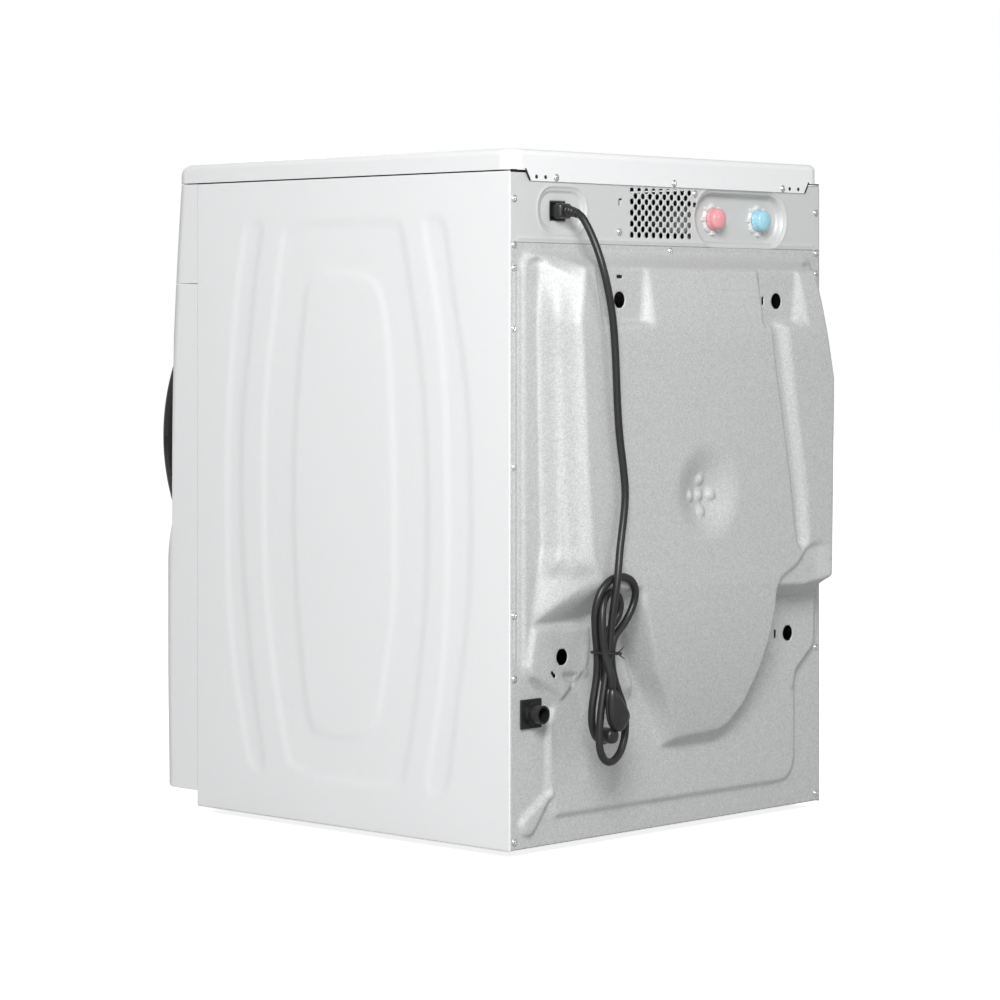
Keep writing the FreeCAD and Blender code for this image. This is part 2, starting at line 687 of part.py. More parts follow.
def drum_bearings():
    front = turned([(SHAFT_R + FIT, -88.5), (31, -88.5), (31, -72), (SHAFT_R + FIT, -72)], 0, TUB_Z)
    rear = turned([(SHAFT_END_R + FIT, -40.5), (26, -40.5), (26, -25.5), (SHAFT_END_R + FIT, -25.5)], 0, TUB_Z)
    return group([front, rear])


def round_loft(stations):
    """A solid through upright circles, each given as (y, height of its centre, radius)."""
    rings = [
        Part.Wire(Part.makeCircle(radius, Vector(0, y, z), Vector(0, 1, 0))) for y, z, radius in stations
    ]
    return Part.makeLoft(rings, True, True)


def door_bellows():
    """Grips the front panel's opening at one end and the tub's neck, lower down, at the other."""
    rear = TUB_NECK_R + 0.1
    outside = [(-606.4, DOOR_Z, 191), (-594, DOOR_Z, 191), (-578, 462, 180), (-562, TUB_Z, 184), (-550, TUB_Z, 184)]
    inside = [(-607, DOOR_Z, 186), (-594, DOOR_Z, 186), (-578, 462, 175), (-562, TUB_Z, rear), (-549, TUB_Z, rear)]
    sleeve = round_loft(outside).cut(round_loft(inside))
    lip = turned([(150, -601), (153, -603), (188, -599), (188, -594), (154, -598)], 0, DOOR_Z)
    return joined([sleeve, lip])


def front_counterweight():
    ring = turned([(196, -570), (248, -570), (248, TUB_FRONT), (196, TUB_FRONT)], 0, TUB_Z)
    ring = ring.cut(box(-55, 55, -580, -540, 180, 270))
    return rounded(ring, 3, lambda c, e: c.y < -569.9 and e.Length > 300)


def drum_shell():
    t = DRUM_SHEET
    shell = turned(
        [
            (DRUM_MOUTH_R, -506), (DRUM_MOUTH_R, DRUM_FRONT), (DRUM_R, DRUM_FRONT), (DRUM_R, DRUM_BACK),
            (0, DRUM_BACK), (0, DRUM_BACK - t), (DRUM_R - t, DRUM_BACK - t), (DRUM_R - t, DRUM_FRONT + t),
            (DRUM_MOUTH_R + t, DRUM_FRONT + t), (DRUM_MOUTH_R + t, -506),
        ],
        0,
        TUB_Z,
    )
    return shell


def drum_lifters():
    inside = rod("y", 0, TUB_Z, -500, -140, DRUM_R - DRUM_SHEET)
    lifters = []
    for k in range(3):
        wedge = plate_y([(-34, -240), (34, -240), (12, -196), (6, -190), (-6, -190), (-12, -196)], -490, -150)
        wedge = wedge.rotate(Vector(0, 0, 0), Vector(0, 1, 0), 120 * k)
        wedge.translate(Vector(0, 0, TUB_Z))
        lifters.append(wedge.common(inside))
    return group(lifters)


def drum_spider():
    hub = rod("y", 0, TUB_Z, DRUM_BACK, -97, 42)
    arms = []
    for k in range(3):
        arm = box(-20, 20, DRUM_BACK, -100, 0, 222)
        arm = arm.rotate(Vector(0, 0, 0), Vector(0, 1, 0), 60 + 120 * k)
        arm.translate(Vector(0, 0, TUB_Z))
        arms.append(arm)
    return joined([hub] + arms).cut(rod("y", 0, TUB_Z, -120, -90, SHAFT_R))


def drum_shaft():
    thick = rod("y", 0, TUB_Z, DRUM_BACK, -42, SHAFT_R)
    thin = rod("y", 0, TUB_Z, -42, BELT_BACK, SHAFT_END_R)
    return joined([thick, thin]).cut(rod("y", 0, TUB_Z, -22, 0, 5))


def pulley_bolt():
    head = hex_prism(0, 0, 0, 7, 8.5)
    head = head.rotate(Vector(0, 0, 0), Vector(1, 0, 0), -90)
    head.translate(Vector(0, BELT_BACK + 2, TUB_Z))
    washer = rod("y", 0, TUB_Z, BELT_BACK, BELT_BACK + 2, 17)
    return joined([head, washer, rod("y", 0, TUB_Z, -22, BELT_BACK, 5)])


def drum_pulley():
    rim = turned(
        [
            (131, BELT_FRONT), (PULLEY_R, BELT_FRONT), (PULLEY_R, BELT_BACK), (131, BELT_BACK),
            (131, BELT_BACK - 4), (136, BELT_BACK - 4), (136, BELT_FRONT + 4), (131, BELT_FRONT + 4),
        ],
        0,
        TUB_Z,
    )
    pieces = [rim, rod("y", 0, TUB_Z, BELT_FRONT, BELT_BACK, 27)]
    for k in range(6):
        spoke = box(-9, 9, BELT_FRONT + 4, BELT_BACK - 4, 20, 134)
        spoke = spoke.rotate(Vector(0, 0, 0), Vector(0, 1, 0), 60 * k)
        spoke.translate(Vector(0, 0, TUB_Z))
        pieces.append(spoke)
    return joined(pieces).cut(rod("y", 0, TUB_Z, -30, 0, SHAFT_END_R))


def belt_block(grow, y0, y1):
    """A flat block wrapped round both pulleys, grow millimetres outside them."""
    big, small = PULLEY_R + grow, MOTOR_PULLEY_R + grow
    dx, dz = MOTOR_X, MOTOR_Z - TUB_Z
    span = math.hypot(dx, dz)
    facing = math.atan2(dz, dx)
    lean = math.acos((big - small) / span)
    corners = []
    for angle, radius, x, z in (
        (facing + lean, big, 0, TUB_Z),
        (facing + lean, small, MOTOR_X, MOTOR_Z),
        (facing - lean, small, MOTOR_X, MOTOR_Z),
        (facing - lean, big, 0, TUB_Z),
    ):
        corners.append((x + radius * math.cos(angle), z + radius * math.sin(angle)))
    middle = plate_y(corners, y0, y1)
    return joined([middle, rod("y", 0, TUB_Z, y0, y1, big), rod("y", MOTOR_X, MOTOR_Z, y0, y1, small)])


def drive_belt():
    y0, y1 = BELT_FRONT + 2, BELT_BACK - 2
    return belt_block(3.3, y0, y1).cut(belt_block(0.4, y0 - 1, y1 + 1))


def drive_motor():
    body = rod("y", MOTOR_X, MOTOR_Z, -190, -44, MOTOR_R)
    body = rounded(body, 6, lambda c, e: e.Length > 300)
    nose = rod("y", MOTOR_X, MOTOR_Z, -44, -36, 24)
    ribs = [
        turned([(MOTOR_R - 4, y), (MOTOR_R + 2, y), (MOTOR_R + 2, y + 4), (MOTOR_R - 4, y + 4)], MOTOR_X, MOTOR_Z)
        for y in (-160, -120, -80)
    ]
    lugs = [box(MOTOR_X - 22, MOTOR_X + 22, y, y + 18, MOTOR_Z + 40, 225) for y in (-175, -86)]
    body = joined([body, nose] + ribs + lugs)
    body = body.cut(rod("y", 0, TUB_Z, -300, 0, TUB_R))
    return body.cut(rod("y", MOTOR_X, MOTOR_Z, -60, -30, 8.0))


def motor_pulley():
    grip = rod("y", MOTOR_X, MOTOR_Z, BELT_FRONT - 2, BELT_BACK + 2, MOTOR_PULLEY_R)
    flange = rod("y", MOTOR_X, MOTOR_Z, BELT_BACK, BELT_BACK + 2, MOTOR_PULLEY_R + 4)
    shaft = rod("y", MOTOR_X, MOTOR_Z, -58, BELT_FRONT - 2, 8.0 - FIT)
    return joined([grip, flange, shaft])


def coil_spring(x):
    """A close helix of wire between two seats."""
    wire_r, radius, seat = 1.8, 11.0, 4.0
    low, high = SPRING_LOW + seat - 1, SPRING_HIGH - seat + 1
    helix = Part.makeHelix(8.0, high - low, radius)
    start = Vector(radius, 0, 0)
    section = Part.Wire(Part.makeCircle(wire_r, start, Vector(0, 1, 8.0 / (2 * math.pi * radius))))
    coil = Part.Wire(helix.Edges).makePipeShell([section], True, True)
    coil.translate(Vector(x, SPRING_Y, low))
    lower = rod("z", x, SPRING_Y, SPRING_LOW, SPRING_LOW + seat, radius + 2.5)
    upper = rod("z", x, SPRING_Y, SPRING_HIGH - seat, SPRING_HIGH, radius + 2.5)
    return coil.fuse([lower, upper])


def suspension_springs():
    return group([coil_spring(s * SPRING_X) for s in (-1, 1)])


def damper_tubes():
    tubes = []
    for s in (-1, 1):
        body = rod("z", s * DAMPER_X, DAMPER_Y, 30, 180, 17)
        tubes.append(body.cut(rod("z", s * DAMPER_X, DAMPER_Y, 60, 181, 6.5)))
    return group(tubes)


def damper_rods():
    return group([rod("z", s * DAMPER_X, DAMPER_Y, 95, 232, 6.0) for s in (-1, 1)])


def heater_seal():
    return box(-42, 42, -558, -526, 203, 216)


def wash_heater():
    legs = [rod("y", x, 211.4, -526, -330, 3.6) for x in (-30, 30)]
    bridge = rod("x", -330, 210.4, -31, 31, 3.6)
    return joined(legs + [bridge, heater_seal()])


def drying_duct():
    tub = rod("y", 0, TUB_Z, -600, 0, TUB_R)
    channel = box(25, 115, -500, -170, 640, 735)
    scroll = rod("z", FAN_X, FAN_Y, 640, 735, 72)
    outer = joined([channel, scroll]).cut(tub).cut(rod("y", 0, TUB_Z, -305, -290, TUB_FLANGE_R))
    air = box(28, 112, -497, -170, 640, 732)
    eye = rod("z", FAN_X, FAN_Y, 704, 732, 69)
    air = air.cut(rod("y", 0, TUB_Z, -600, 0, TUB_R + 3))
    outer = outer.cut(air).cut(eye)
    return outer.cut(rod("z", FAN_X, FAN_Y, 730, 740, 4.6))


def dryer_fan():
    disc = rod("z", FAN_X, FAN_Y, 706, 709, 56)
    hub = rod("z", FAN_X, FAN_Y, 706, 722, 12)
    blades = []
    for k in range(16):
        blade = box(34, 55, -1, 1, 708, 728)
        blade = blade.rotate(Vector(44, 0, 0), Vector(0, 0, 1), 25)
        blade = blade.rotate(Vector(0, 0, 0), Vector(0, 0, 1), 22.5 * k)
        blade.translate(Vector(FAN_X, FAN_Y, 0))
        blades.append(blade)
    return joined([disc, hub, rod("z", FAN_X, FAN_Y, 722, 752, 4.0)] + blades)


def dryer_fan_motor():
    body = rounded(rod("z", FAN_X, FAN_Y, 735, 778, 34), 5, lambda c, e: c.z > 777.9)
    return body.cut(rod("z", FAN_X, FAN_Y, 734, 756, 4.0 + FIT))


# ---- water --------------------------------------------------------------------------------
def drain_pump():
    body = rod("y", PUMP_X, PUMP_Z, -500, -425, 38)
    tube_wall = turned([(30.5, -588), (34, -588), (34, -500), (30.5, -500)], PUMP_X, PUMP_Z)
    saddle = box(PUMP_X - 30, PUMP_X + 30, -520, -475, 30, PUMP_Z - 20).cut(
        rod("y", PUMP_X, PUMP_Z, -530, -400, 34)
    )
    spout = rod("y", PUMP_X, PUMP_Z, -425, -405, 9)
    return joined([body, tube_wall, saddle, spout])


def pump_filter():
    cage = turned([(22, -590), (28.5, -590), (28.5, -510), (22, -510)], PUMP_X, PUMP_Z)
    cap = rod("y", PUMP_X, PUMP_Z, -596, -589, 36)
    grip = box(PUMP_X - 4, PUMP_X + 4, -612, -595, PUMP_Z - 24, PUMP_Z + 24)
    grip = rounded(grip, 2, lambda c, e: c.y < -611.9)
    return joined([cage, cap, grip])


def drain_hose():
    route = [
        Vector(PUMP_X, -405, PUMP_Z), Vector(PUMP_X, -350, PUMP_Z), Vector(228, -270, 98),
        Vector(258, -180, 130), Vector(DRAIN_X, -95, DRAIN_Z), Vector(DRAIN_X, -24, DRAIN_Z),
    ]
    hose, _ = tube(route, 10)
    return hose


def drain_outlet():
    block = box(245, 280, 0.5, 3, 147.5, 182.5)
    neck = box(247.5, 277.5, -24, 0.5, 150.5, 179.5)
    collar = rod("y", DRAIN_X, DRAIN_Z, 3, 9, 14)
    stub = rod("y", DRAIN_X, DRAIN_Z, 3, 22, 11)
    whole = joined([block, neck, collar, stub])
    return whole.cut(rod("y", DRAIN_X, DRAIN_Z, -18, 30, 8.5))


def inlet_valves():
    valves = []
    for x in VALVE_X:
        body = box(x - 17, x + 17, -70, VALVE_FLOOR - 1.2, 748, 781)
        coil = rod("y", x, VALVE_Z, -98, -70, 15)
        spout = rod("z", x, -50, 736, 748, 7)
        thread = rod("y", x, VALVE_Z, VALVE_FLOOR - 1.2, -2, 11.0)
        flange = turned([(11, -13), (18, -13), (18, -11.5), (15, -9), (11, -9)], x, VALVE_Z)
        lugs = []
        for k in range(8):
            lug = box(-2.5, 2.5, -13, -8.5, 15, 20)
            lug = lug.rotate(Vector(0, 0, 0), Vector(0, 1, 0), 45 * k)
            lug.translate(Vector(x, 0, VALVE_Z))
            lugs.append(lug)
        valves.append(joined([body, coil, spout, thread, flange] + lugs).cut(rod("y", x, VALVE_Z, -30, 0, 6)))
    return group(valves)


def valve_cap(x):
    cap = turned([(11, -8.5), (14.2, -8.5), (13.4, 1.5), (12, 3), (0, 3), (0, -2), (11, -2)], x, VALVE_Z)
    grips = []
    for k in range(12):
        grip = box(-1.2, 1.2, -8.5, 1, 13, 15)
        grip = grip.rotate(Vector(0, 0, 0), Vector(0, 1, 0), 30 * k)
        grip.translate(Vector(x, 0, VALVE_Z))
        grips.append(grip)
    return joined([cap] + grips)


# ---- mains --------------------------------------------------------------------------------
def power_inlet():
    body = box(INLET_X - 14, INLET_X + 14, -36, -4, INLET_Z - 12, INLET_Z + 12)
    return body.cut(box(INLET_X - 12, INLET_X + 12, -22, 0, INLET_Z - 10, INLET_Z + 10))


def cord_connector():
    body = box(INLET_X - 12, INLET_X + 12, -22, 11, INLET_Z - 10, INLET_Z + 10)
    body = rounded(body, 3, lambda c, e: c.y > 10.9)
    along = (CORD_ROUTE[1] - CORD_ROUTE[0]).normalize()
    sleeve = Part.makeCone(7.5, 6.0, 11, CORD_ROUTE[0] - along * 11, along)
    return joined([body, sleeve])


def power_cord():
    cord, length = tube(CORD_ROUTE, CORD_R)
    radii = [bend_radius(a, b, c) for a, b, c in zip(CORD_ROUTE, CORD_ROUTE[1:], CORD_ROUTE[2:])]
    print("cord radii", [round(r) for r in radii])
    print("cord length", round(length), "volume share", round(cord.Volume / (math.pi * CORD_R**2 * length), 4))
    return cord


def hank_outline():
    return [
        (202, 240), (212, 268), (216, 296), (205, 324), (178, 333), (148, 326), (127, 302), (134, 276),
        (164, 246), (172, 232), (165, 190), (161, 150), (170, 116), (193, 103), (214, 110), (222, 140),
        (217, 190), (206, 232),
    ]


def cord_hank():
    """The hank's turns as one solid with their outer shape."""
    block = plate_y(hank_outline(), HANK_FRONT_Y, HANK_BACK_Y)
    block = block.cut(box(120, 230, HANK_FRONT_Y - 1, BULGE_H + 0.5, 290, 340))
    return block.cut(tube(CORD_ROUTE, CORD_R)[0]).cut(power_plug())


def cord_tie():
    band = box(164, 210, HANK_FRONT_Y - 2, HANK_BACK_Y + 2, 235, 238)
    return band.cut(plate_y(hank_outline(), HANK_FRONT_Y, HANK_BACK_Y))


def power_plug():
    """A flat plug hanging in the hank, its pins turned towards the cabinet."""
    body = plate_y([(199, 192), (190, 194), (168, 166), (164, 156), (176, 143), (192, 142), (203, 158)], 56, 79)
    body = rounded(body, 3, lambda c, e: c.y > 78.9)
    pins = [box(x, x + 1.6, 38, 56, 152, 158) for x in (177, 188)]
    pins.append(rod("y", 184, 170, 36, 56, 2.4))
    return joined([body] + pins)


# ---- writing ------------------------------------------------------------------------------
def save(name, shape):
    placed = shape.copy()
    placed.translate(Vector(0, REAR_SHIFT, FOOT_DROP))
    placed.exportStep("parts/%s.step" % name)


def build():
    valve_hot, valve_cold = VALVE_X
    shapes = {
        "side_panel_right": bored_for_screws(side_panel()),
        "side_panel_left": bored_for_screws(mirrored(side_panel())),
        "base_frame": base_frame(),
        "levelling_feet": levelling_feet(),
        "top_crossbar": top_crossbar(),
        "top_cover": bored_for_screws(top_cover()),
        "rear_top_panel": bored_for_screws(rear_top_panel()),
        "rear_panel": bored_for_screws(rear_panel()),
        "panel_screws": panel_screws(),
        "front_panel": front_panel(),
        "filter_door": filter_door(),
        "control_panel": control_panel(),
        "display_window": display_window(),
        "program_knob": program_knob(),
        "control_board": control_board(),
        "drawer_housing": drawer_housing(),
        "detergent_drawer": detergent_drawer(),
        "door_outer_ring": door_outer_ring(),
        "door_window": door_window(),
        "door_inner_ring": door_inner_ring(),
        "door_glass": door_glass(),
        "door_hinge": door_hinge(),
        "hinge_bracket": hinge_bracket(),
        "door_hook": door_hook(),
        "door_lock": door_lock(),
        "tub_front": tub_front(),
        "tub_rear": tub_rear(),
        "drum_bearings": drum_bearings(),
        "door_bellows": door_bellows(),
        "front_counterweight": front_counterweight(),
        "drum_shell": drum_shell(),
        "drum_lifters": drum_lifters(),
        "drum_spider": drum_spider(),
        "drum_shaft": group([drum_shaft(), pulley_bolt()]),
        "drum_pulley": drum_pulley(),
        "drive_belt": drive_belt(),
        "drive_motor": drive_motor(),
        "motor_pulley": motor_pulley(),
        "suspension_springs": suspension_springs(),
        "damper_tubes": damper_tubes(),
        "damper_rods": damper_rods(),
        "wash_heater": wash_heater(),
        "drying_duct": drying_duct(),
        "dryer_fan": dryer_fan(),
        "dryer_fan_motor": dryer_fan_motor(),
        "drain_pump": drain_pump(),
        "pump_filter": pump_filter(),
        "drain_hose": drain_hose(),
        "drain_outlet": drain_outlet(),
        "inlet_valves": inlet_valves(),
        "valve_cap_hot": valve_cap(valve_hot),
        "valve_cap_cold": valve_cap(valve_cold),
        "power_inlet": power_inlet(),
        "cord_connector": cord_connector(),
        "power_cord": power_cord(),
        "cord_hank": cord_hank(),
        "cord_tie": cord_tie(),
        "power_plug": power_plug(),
    }
    for name, x in BUTTONS:
        shapes[name] = button(x)
    return shapes


os.makedirs("parts", exist_ok=True)
for node, solid in build().items():
    save(node, solid)
    print(node, len(solid.Solids), round(solid.Volume / 1000, 1), solid.isValid())
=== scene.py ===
import json
import math

import bpy
import numpy as np
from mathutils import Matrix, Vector


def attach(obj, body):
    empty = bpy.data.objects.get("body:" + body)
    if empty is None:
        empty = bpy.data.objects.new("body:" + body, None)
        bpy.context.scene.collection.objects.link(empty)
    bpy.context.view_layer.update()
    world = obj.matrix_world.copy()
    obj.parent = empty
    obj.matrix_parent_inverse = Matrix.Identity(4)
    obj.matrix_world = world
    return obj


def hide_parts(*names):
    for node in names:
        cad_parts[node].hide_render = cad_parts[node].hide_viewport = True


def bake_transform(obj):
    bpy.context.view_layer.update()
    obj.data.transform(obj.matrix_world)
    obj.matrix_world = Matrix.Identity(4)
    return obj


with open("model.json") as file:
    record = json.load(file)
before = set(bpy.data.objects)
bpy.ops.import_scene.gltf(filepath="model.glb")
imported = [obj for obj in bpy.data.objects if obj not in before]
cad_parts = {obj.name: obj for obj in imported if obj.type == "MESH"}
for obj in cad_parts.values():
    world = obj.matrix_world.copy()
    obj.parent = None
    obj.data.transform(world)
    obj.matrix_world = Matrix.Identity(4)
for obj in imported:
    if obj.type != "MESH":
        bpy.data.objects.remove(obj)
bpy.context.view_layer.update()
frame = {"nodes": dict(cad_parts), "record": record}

NODES = frame["nodes"]

# The part is drawn in a cabinet frame in millimetres: x = 0 in the middle, y = 0 at the rear edge of
# the side panels, z = 0 at the cabinet's underside. place() turns that into the row frame in metres.
REAR_SHIFT, FOOT_DROP = 311.0, 5.0
HALF_WIDTH = 297.5
MM = 0.001


def place(x, y, z):
    """A point of the cabinet frame, in the row frame."""
    return Vector((x * MM, (y + REAR_SHIFT) * MM, (z + FOOT_DROP) * MM))


# ---- camera -------------------------------------------------------------------------------
def make_camera():
    data = bpy.data.cameras.new("camera")
    data.sensor_width = 36.0
    data.lens = 119.66
    data.shift_y = -0.1729
    camera = bpy.data.objects.new("camera", data)
    camera.location = (3.1702, 3.0181, 0.6319)
    camera.rotation_euler = (math.pi / 2, 0, math.radians(133.468))
    bpy.context.collection.objects.link(camera)
    bpy.context.scene.camera = camera


make_camera()


# ---- materials ----------------------------------------------------------------------------
def surface(name, colour, rough, metallic=0.0, grain=900.0, vary=0.05, bump=0.05, coat=0.0, stretch=None):
    """A procedural finish: fine noise in colour, roughness and relief."""
    material = bpy.data.materials.new(name)
    material.use_nodes = True
    tree = material.node_tree
    shader = tree.nodes["Principled BSDF"]
    shader.inputs["Metallic"].default_value = metallic
    shader.inputs["Coat Weight"].default_value = coat
    shader.inputs["Coat Roughness"].default_value = 0.12
    coords = tree.nodes.new("ShaderNodeTexCoord")
    source = coords.outputs["Object"]
    if stretch:
        mapping = tree.nodes.new("ShaderNodeMapping")
        mapping.inputs["Scale"].default_value = stretch
        tree.links.new(source, mapping.inputs["Vector"])
        source = mapping.outputs["Vector"]
    noise = tree.nodes.new("ShaderNodeTexNoise")
    noise.inputs["Scale"].default_value = grain
    noise.inputs["Detail"].default_value = 4.0
    tree.links.new(source, noise.inputs["Vector"])
    ramp = tree.nodes.new("ShaderNodeValToRGB")
    ramp.color_ramp.elements[0].position = 0.3
    ramp.color_ramp.elements[1].position = 0.7
    ramp.color_ramp.elements[0].color = [c * (1 - vary) for c in colour] + [1]
    ramp.color_ramp.elements[1].color = [min(1, c * (1 + vary)) for c in colour] + [1]
    tree.links.new(noise.outputs["Fac"], ramp.inputs["Fac"])
    tree.links.new(ramp.outputs["Color"], shader.inputs["Base Color"])
    spread = tree.nodes.new("ShaderNodeMapRange")
    spread.inputs["To Min"].default_value = max(0.02, rough - 0.06)
    spread.inputs["To Max"].default_value = min(1.0, rough + 0.06)
    tree.links.new(noise.outputs["Fac"], spread.inputs["Value"])
    tree.links.new(spread.outputs["Result"], shader.inputs["Roughness"])
    relief = tree.nodes.new("ShaderNodeBump")
    relief.inputs["Strength"].default_value = bump
    relief.inputs["Distance"].default_value = 0.0004
    tree.links.new(noise.outputs["Fac"], relief.inputs["Height"])
    tree.links.new(relief.outputs["Normal"], shader.inputs["Normal"])
    return material


def spangled(name, colour, rough, cell, vary):
    """Zinc-coated steel: small crystal patches of slightly different tone, over fine noise."""
    material = surface(name, colour, rough, metallic=0.2, grain=1100.0, vary=vary, bump=0.08)
    tree = material.node_tree
    shader = tree.nodes["Principled BSDF"]
    coords = tree.nodes["Texture Coordinate"]
    cells = tree.nodes.new("ShaderNodeTexVoronoi")
    cells.inputs["Scale"].default_value = cell
    tree.links.new(coords.outputs["Object"], cells.inputs["Vector"])
    grey = tree.nodes.new("ShaderNodeRGBToBW")
    tree.links.new(cells.outputs["Color"], grey.inputs["Color"])
    tone = tree.nodes.new("ShaderNodeMapRange")
    tone.inputs["To Min"].default_value = 1 - 1.6 * vary
    tone.inputs["To Max"].default_value = 1 + 1.6 * vary
    tree.links.new(grey.outputs["Val"], tone.inputs["Value"])
    mix = tree.nodes.new("ShaderNodeMix")
    mix.data_type = "RGBA"
    mix.blend_type = "MULTIPLY"
    mix.inputs["Factor"].default_value = 1.0
    tree.links.new(tree.nodes["Color Ramp"].outputs["Color"], mix.inputs["A"])
    tree.links.new(tone.outputs["Result"], mix.inputs["B"])
    tree.links.new(mix.outputs["Result"], shader.inputs["Base Color"])
    return material


def clear(name, colour, rough, see_through):
    """Glass-like plastic or glass that lets light through."""
    material = surface(name, colour, rough, grain=300.0, vary=0.03, bump=0.01, coat=0.3)
    shader = material.node_tree.nodes["Principled BSDF"]
    shader.inputs["Transmission Weight"].default_value = see_through
    shader.inputs["IOR"].default_value = 1.46
    return material


M = {}


def finish(maker, name, *values, **options):
    M[name] = maker(name, *values, **options)


finish(surface, "white_paint", (0.7, 0.705, 0.71), 0.32, grain=700, vary=0.01, bump=0.03, coat=0.2)
finish(surface, "white_plastic", (0.69, 0.695, 0.7), 0.36, grain=500, vary=0.01, bump=0.03)
finish(spangled, "galvanised", (0.47, 0.477, 0.475), 0.58, 640, 0.1)
finish(spangled, "galvanised_smooth", (0.55, 0.557, 0.555), 0.5, 700, 0.012)
finish(surface, "zinc_screw", (0.72, 0.72, 0.72), 0.28, 1.0, grain=2500, vary=0.1)
finish(clear, "dark_window", (0.02, 0.02, 0.022), 0.08, 0.35)
finish(clear, "clear_glass", (0.93, 0.97, 0.97), 0.03, 0.95)
finish(surface, "silver_plastic", (0.68, 0.69, 0.71), 0.3, 0.7, grain=2000, vary=0.06)
finish(surface, "board_green", (0.03, 0.2, 0.07), 0.4, grain=400, vary=0.2)
finish(surface, "grey_plastic", (0.5, 0.51, 0.52), 0.5, grain=900, vary=0.05, bump=0.1)
finish(surface, "black_gloss", (0.012, 0.012, 0.013), 0.12, grain=300, vary=0.2, bump=0.01, coat=0.6)
finish(surface, "black_plastic", (0.012, 0.012, 0.013), 0.38, grain=1500, vary=0.25, bump=0.15)
finish(surface, "pale_plastic", (0.6, 0.61, 0.6), 0.34, grain=900, vary=0.03, bump=0.04, coat=0.2)
finish(surface, "cast_aluminium", (0.6, 0.6, 0.6), 0.5, 0.9, grain=700, vary=0.1, bump=0.3)
finish(surface, "grey_rubber", (0.16, 0.16, 0.165), 0.6, grain=1200, vary=0.1, bump=0.15)
finish(surface, "black_rubber", (0.018, 0.018, 0.018), 0.6, grain=1200, vary=0.2, bump=0.2)
finish(surface, "cast_weight", (0.12, 0.12, 0.12), 0.75, 0.2, grain=400, vary=0.25, bump=0.5)
finish(surface, "drum_steel", (0.7, 0.71, 0.72), 0.25, 1.0, grain=200, vary=0.05, stretch=(1, 8, 1))
finish(surface, "bright_steel", (0.65, 0.65, 0.66), 0.25, 1.0, grain=900, vary=0.08)
finish(surface, "motor_case", (0.04, 0.04, 0.045), 0.45, 0.2, grain=600, vary=0.2, bump=0.2)
finish(clear, "red_cap", (0.97, 0.42, 0.45), 0.25, 0.35)
finish(clear, "blue_cap", (0.42, 0.76, 0.9), 0.25, 0.35)
finish(surface, "cord_black", (0.011, 0.011, 0.012), 0.4, grain=1500, vary=0.25, bump=0.15)


def paint_hole_shade(material, centre_z, pitch, radius, drum_radius):
    """Rows of small dots of painted shade round a drum whose axis runs along y: the holes are not cut, each
    is painted near black where the shade inside the drum would show.
    """
    tree = material.node_tree
    shader = tree.nodes["Principled BSDF"]
    far = 1000  # a whole number of cells, added so that no value is negative

    def math_node(kind, *values):
        node = tree.nodes.new("ShaderNodeMath")
        node.operation = kind
        for socket, value in zip(node.inputs, values):
            if isinstance(value, (int, float)):
                socket.default_value = value
            else:
                tree.links.new(value, socket)
        return node.outputs["Value"]

    def from_middle(value):
        """How far a value is from the middle of its cell."""
        return math_node("SUBTRACT", math_node("FRACT", math_node("ADD", value, far)), 0.5)

    split = tree.nodes.new("ShaderNodeSeparateXYZ")
    tree.links.new(tree.nodes["Texture Coordinate"].outputs["Object"], split.inputs["Vector"])
    up = math_node("SUBTRACT", split.outputs["Z"], centre_z)
    count = round(2 * math.pi * drum_radius / pitch)
    around = math_node("MULTIPLY", math_node("ARCTAN2", split.outputs["X"], up), count / (2 * math.pi))
    along = math_node("DIVIDE", split.outputs["Y"], pitch)
    row = math_node("FLOOR", math_node("ADD", along, far))
    half_step = math_node("MULTIPLY", math_node("MODULO", row, 2), 0.5)
    across = from_middle(math_node("ADD", around, half_step))
    lengthwise = from_middle(along)
    squared = math_node(
        "ADD", math_node("MULTIPLY", across, across), math_node("MULTIPLY", lengthwise, lengthwise)
    )
    hole = math_node("LESS_THAN", squared, (radius / pitch) ** 2)
    # Painted shade: inside each hole the colour is mixed to near black, standing in for the dark inside the
    # drum.
    mix = tree.nodes.new("ShaderNodeMix")
    mix.data_type = "RGBA"
    tree.links.new(hole, mix.inputs["Factor"])
    tree.links.new(tree.nodes["Color Ramp"].outputs["Color"], mix.inputs["A"])
    mix.inputs["B"].default_value = (0.02, 0.02, 0.02, 1)
    tree.links.new(mix.outputs["Result"], shader.inputs["Base Color"])


# The drum's holes are painted shade, not cut.
paint_hole_shade(
    M["drum_steel"], centre_z=(450 + FOOT_DROP) * MM, pitch=0.020, radius=0.002, drum_radius=0.234
)
SLOT_OF = {entry["node"]: entry["material_slot"] for entry in frame["record"]["subparts"]}
for node, obj in NODES.items():
    obj.data.materials.clear()
    obj.data.materials.append(M[SLOT_OF[node]])


# ---- mesh tools ---------------------------------------------------------------------------
def to_object(name, verts, faces, slot_name, body="root", smooth=True):
    mesh = bpy.data.meshes.new(name)
    mesh.from_pydata([tuple(v) for v in verts], [], faces)
    mesh.validate()
    for polygon in mesh.polygons:
        polygon.use_smooth = smooth
    mesh.materials.append(M[slot_name])
    obj = bpy.data.objects.new(name, mesh)
    bpy.context.collection.objects.link(obj)
    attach(obj, body)
    return obj


def bands(rings, sides, start=0, flip=False, closed=False):
    """The quads between neighbouring rings of points; a closed run joins its last ring to its first."""
    faces = []
    for ring in range(rings if closed else rings - 1):
        here, there = start + ring * sides, start + (ring + 1) % rings * sides
        for k in range(sides):
            n = (k + 1) % sides
            quad = [here + k, here + n, there + n, there + k]
            faces.append(quad[::-1] if flip else quad)
    return faces


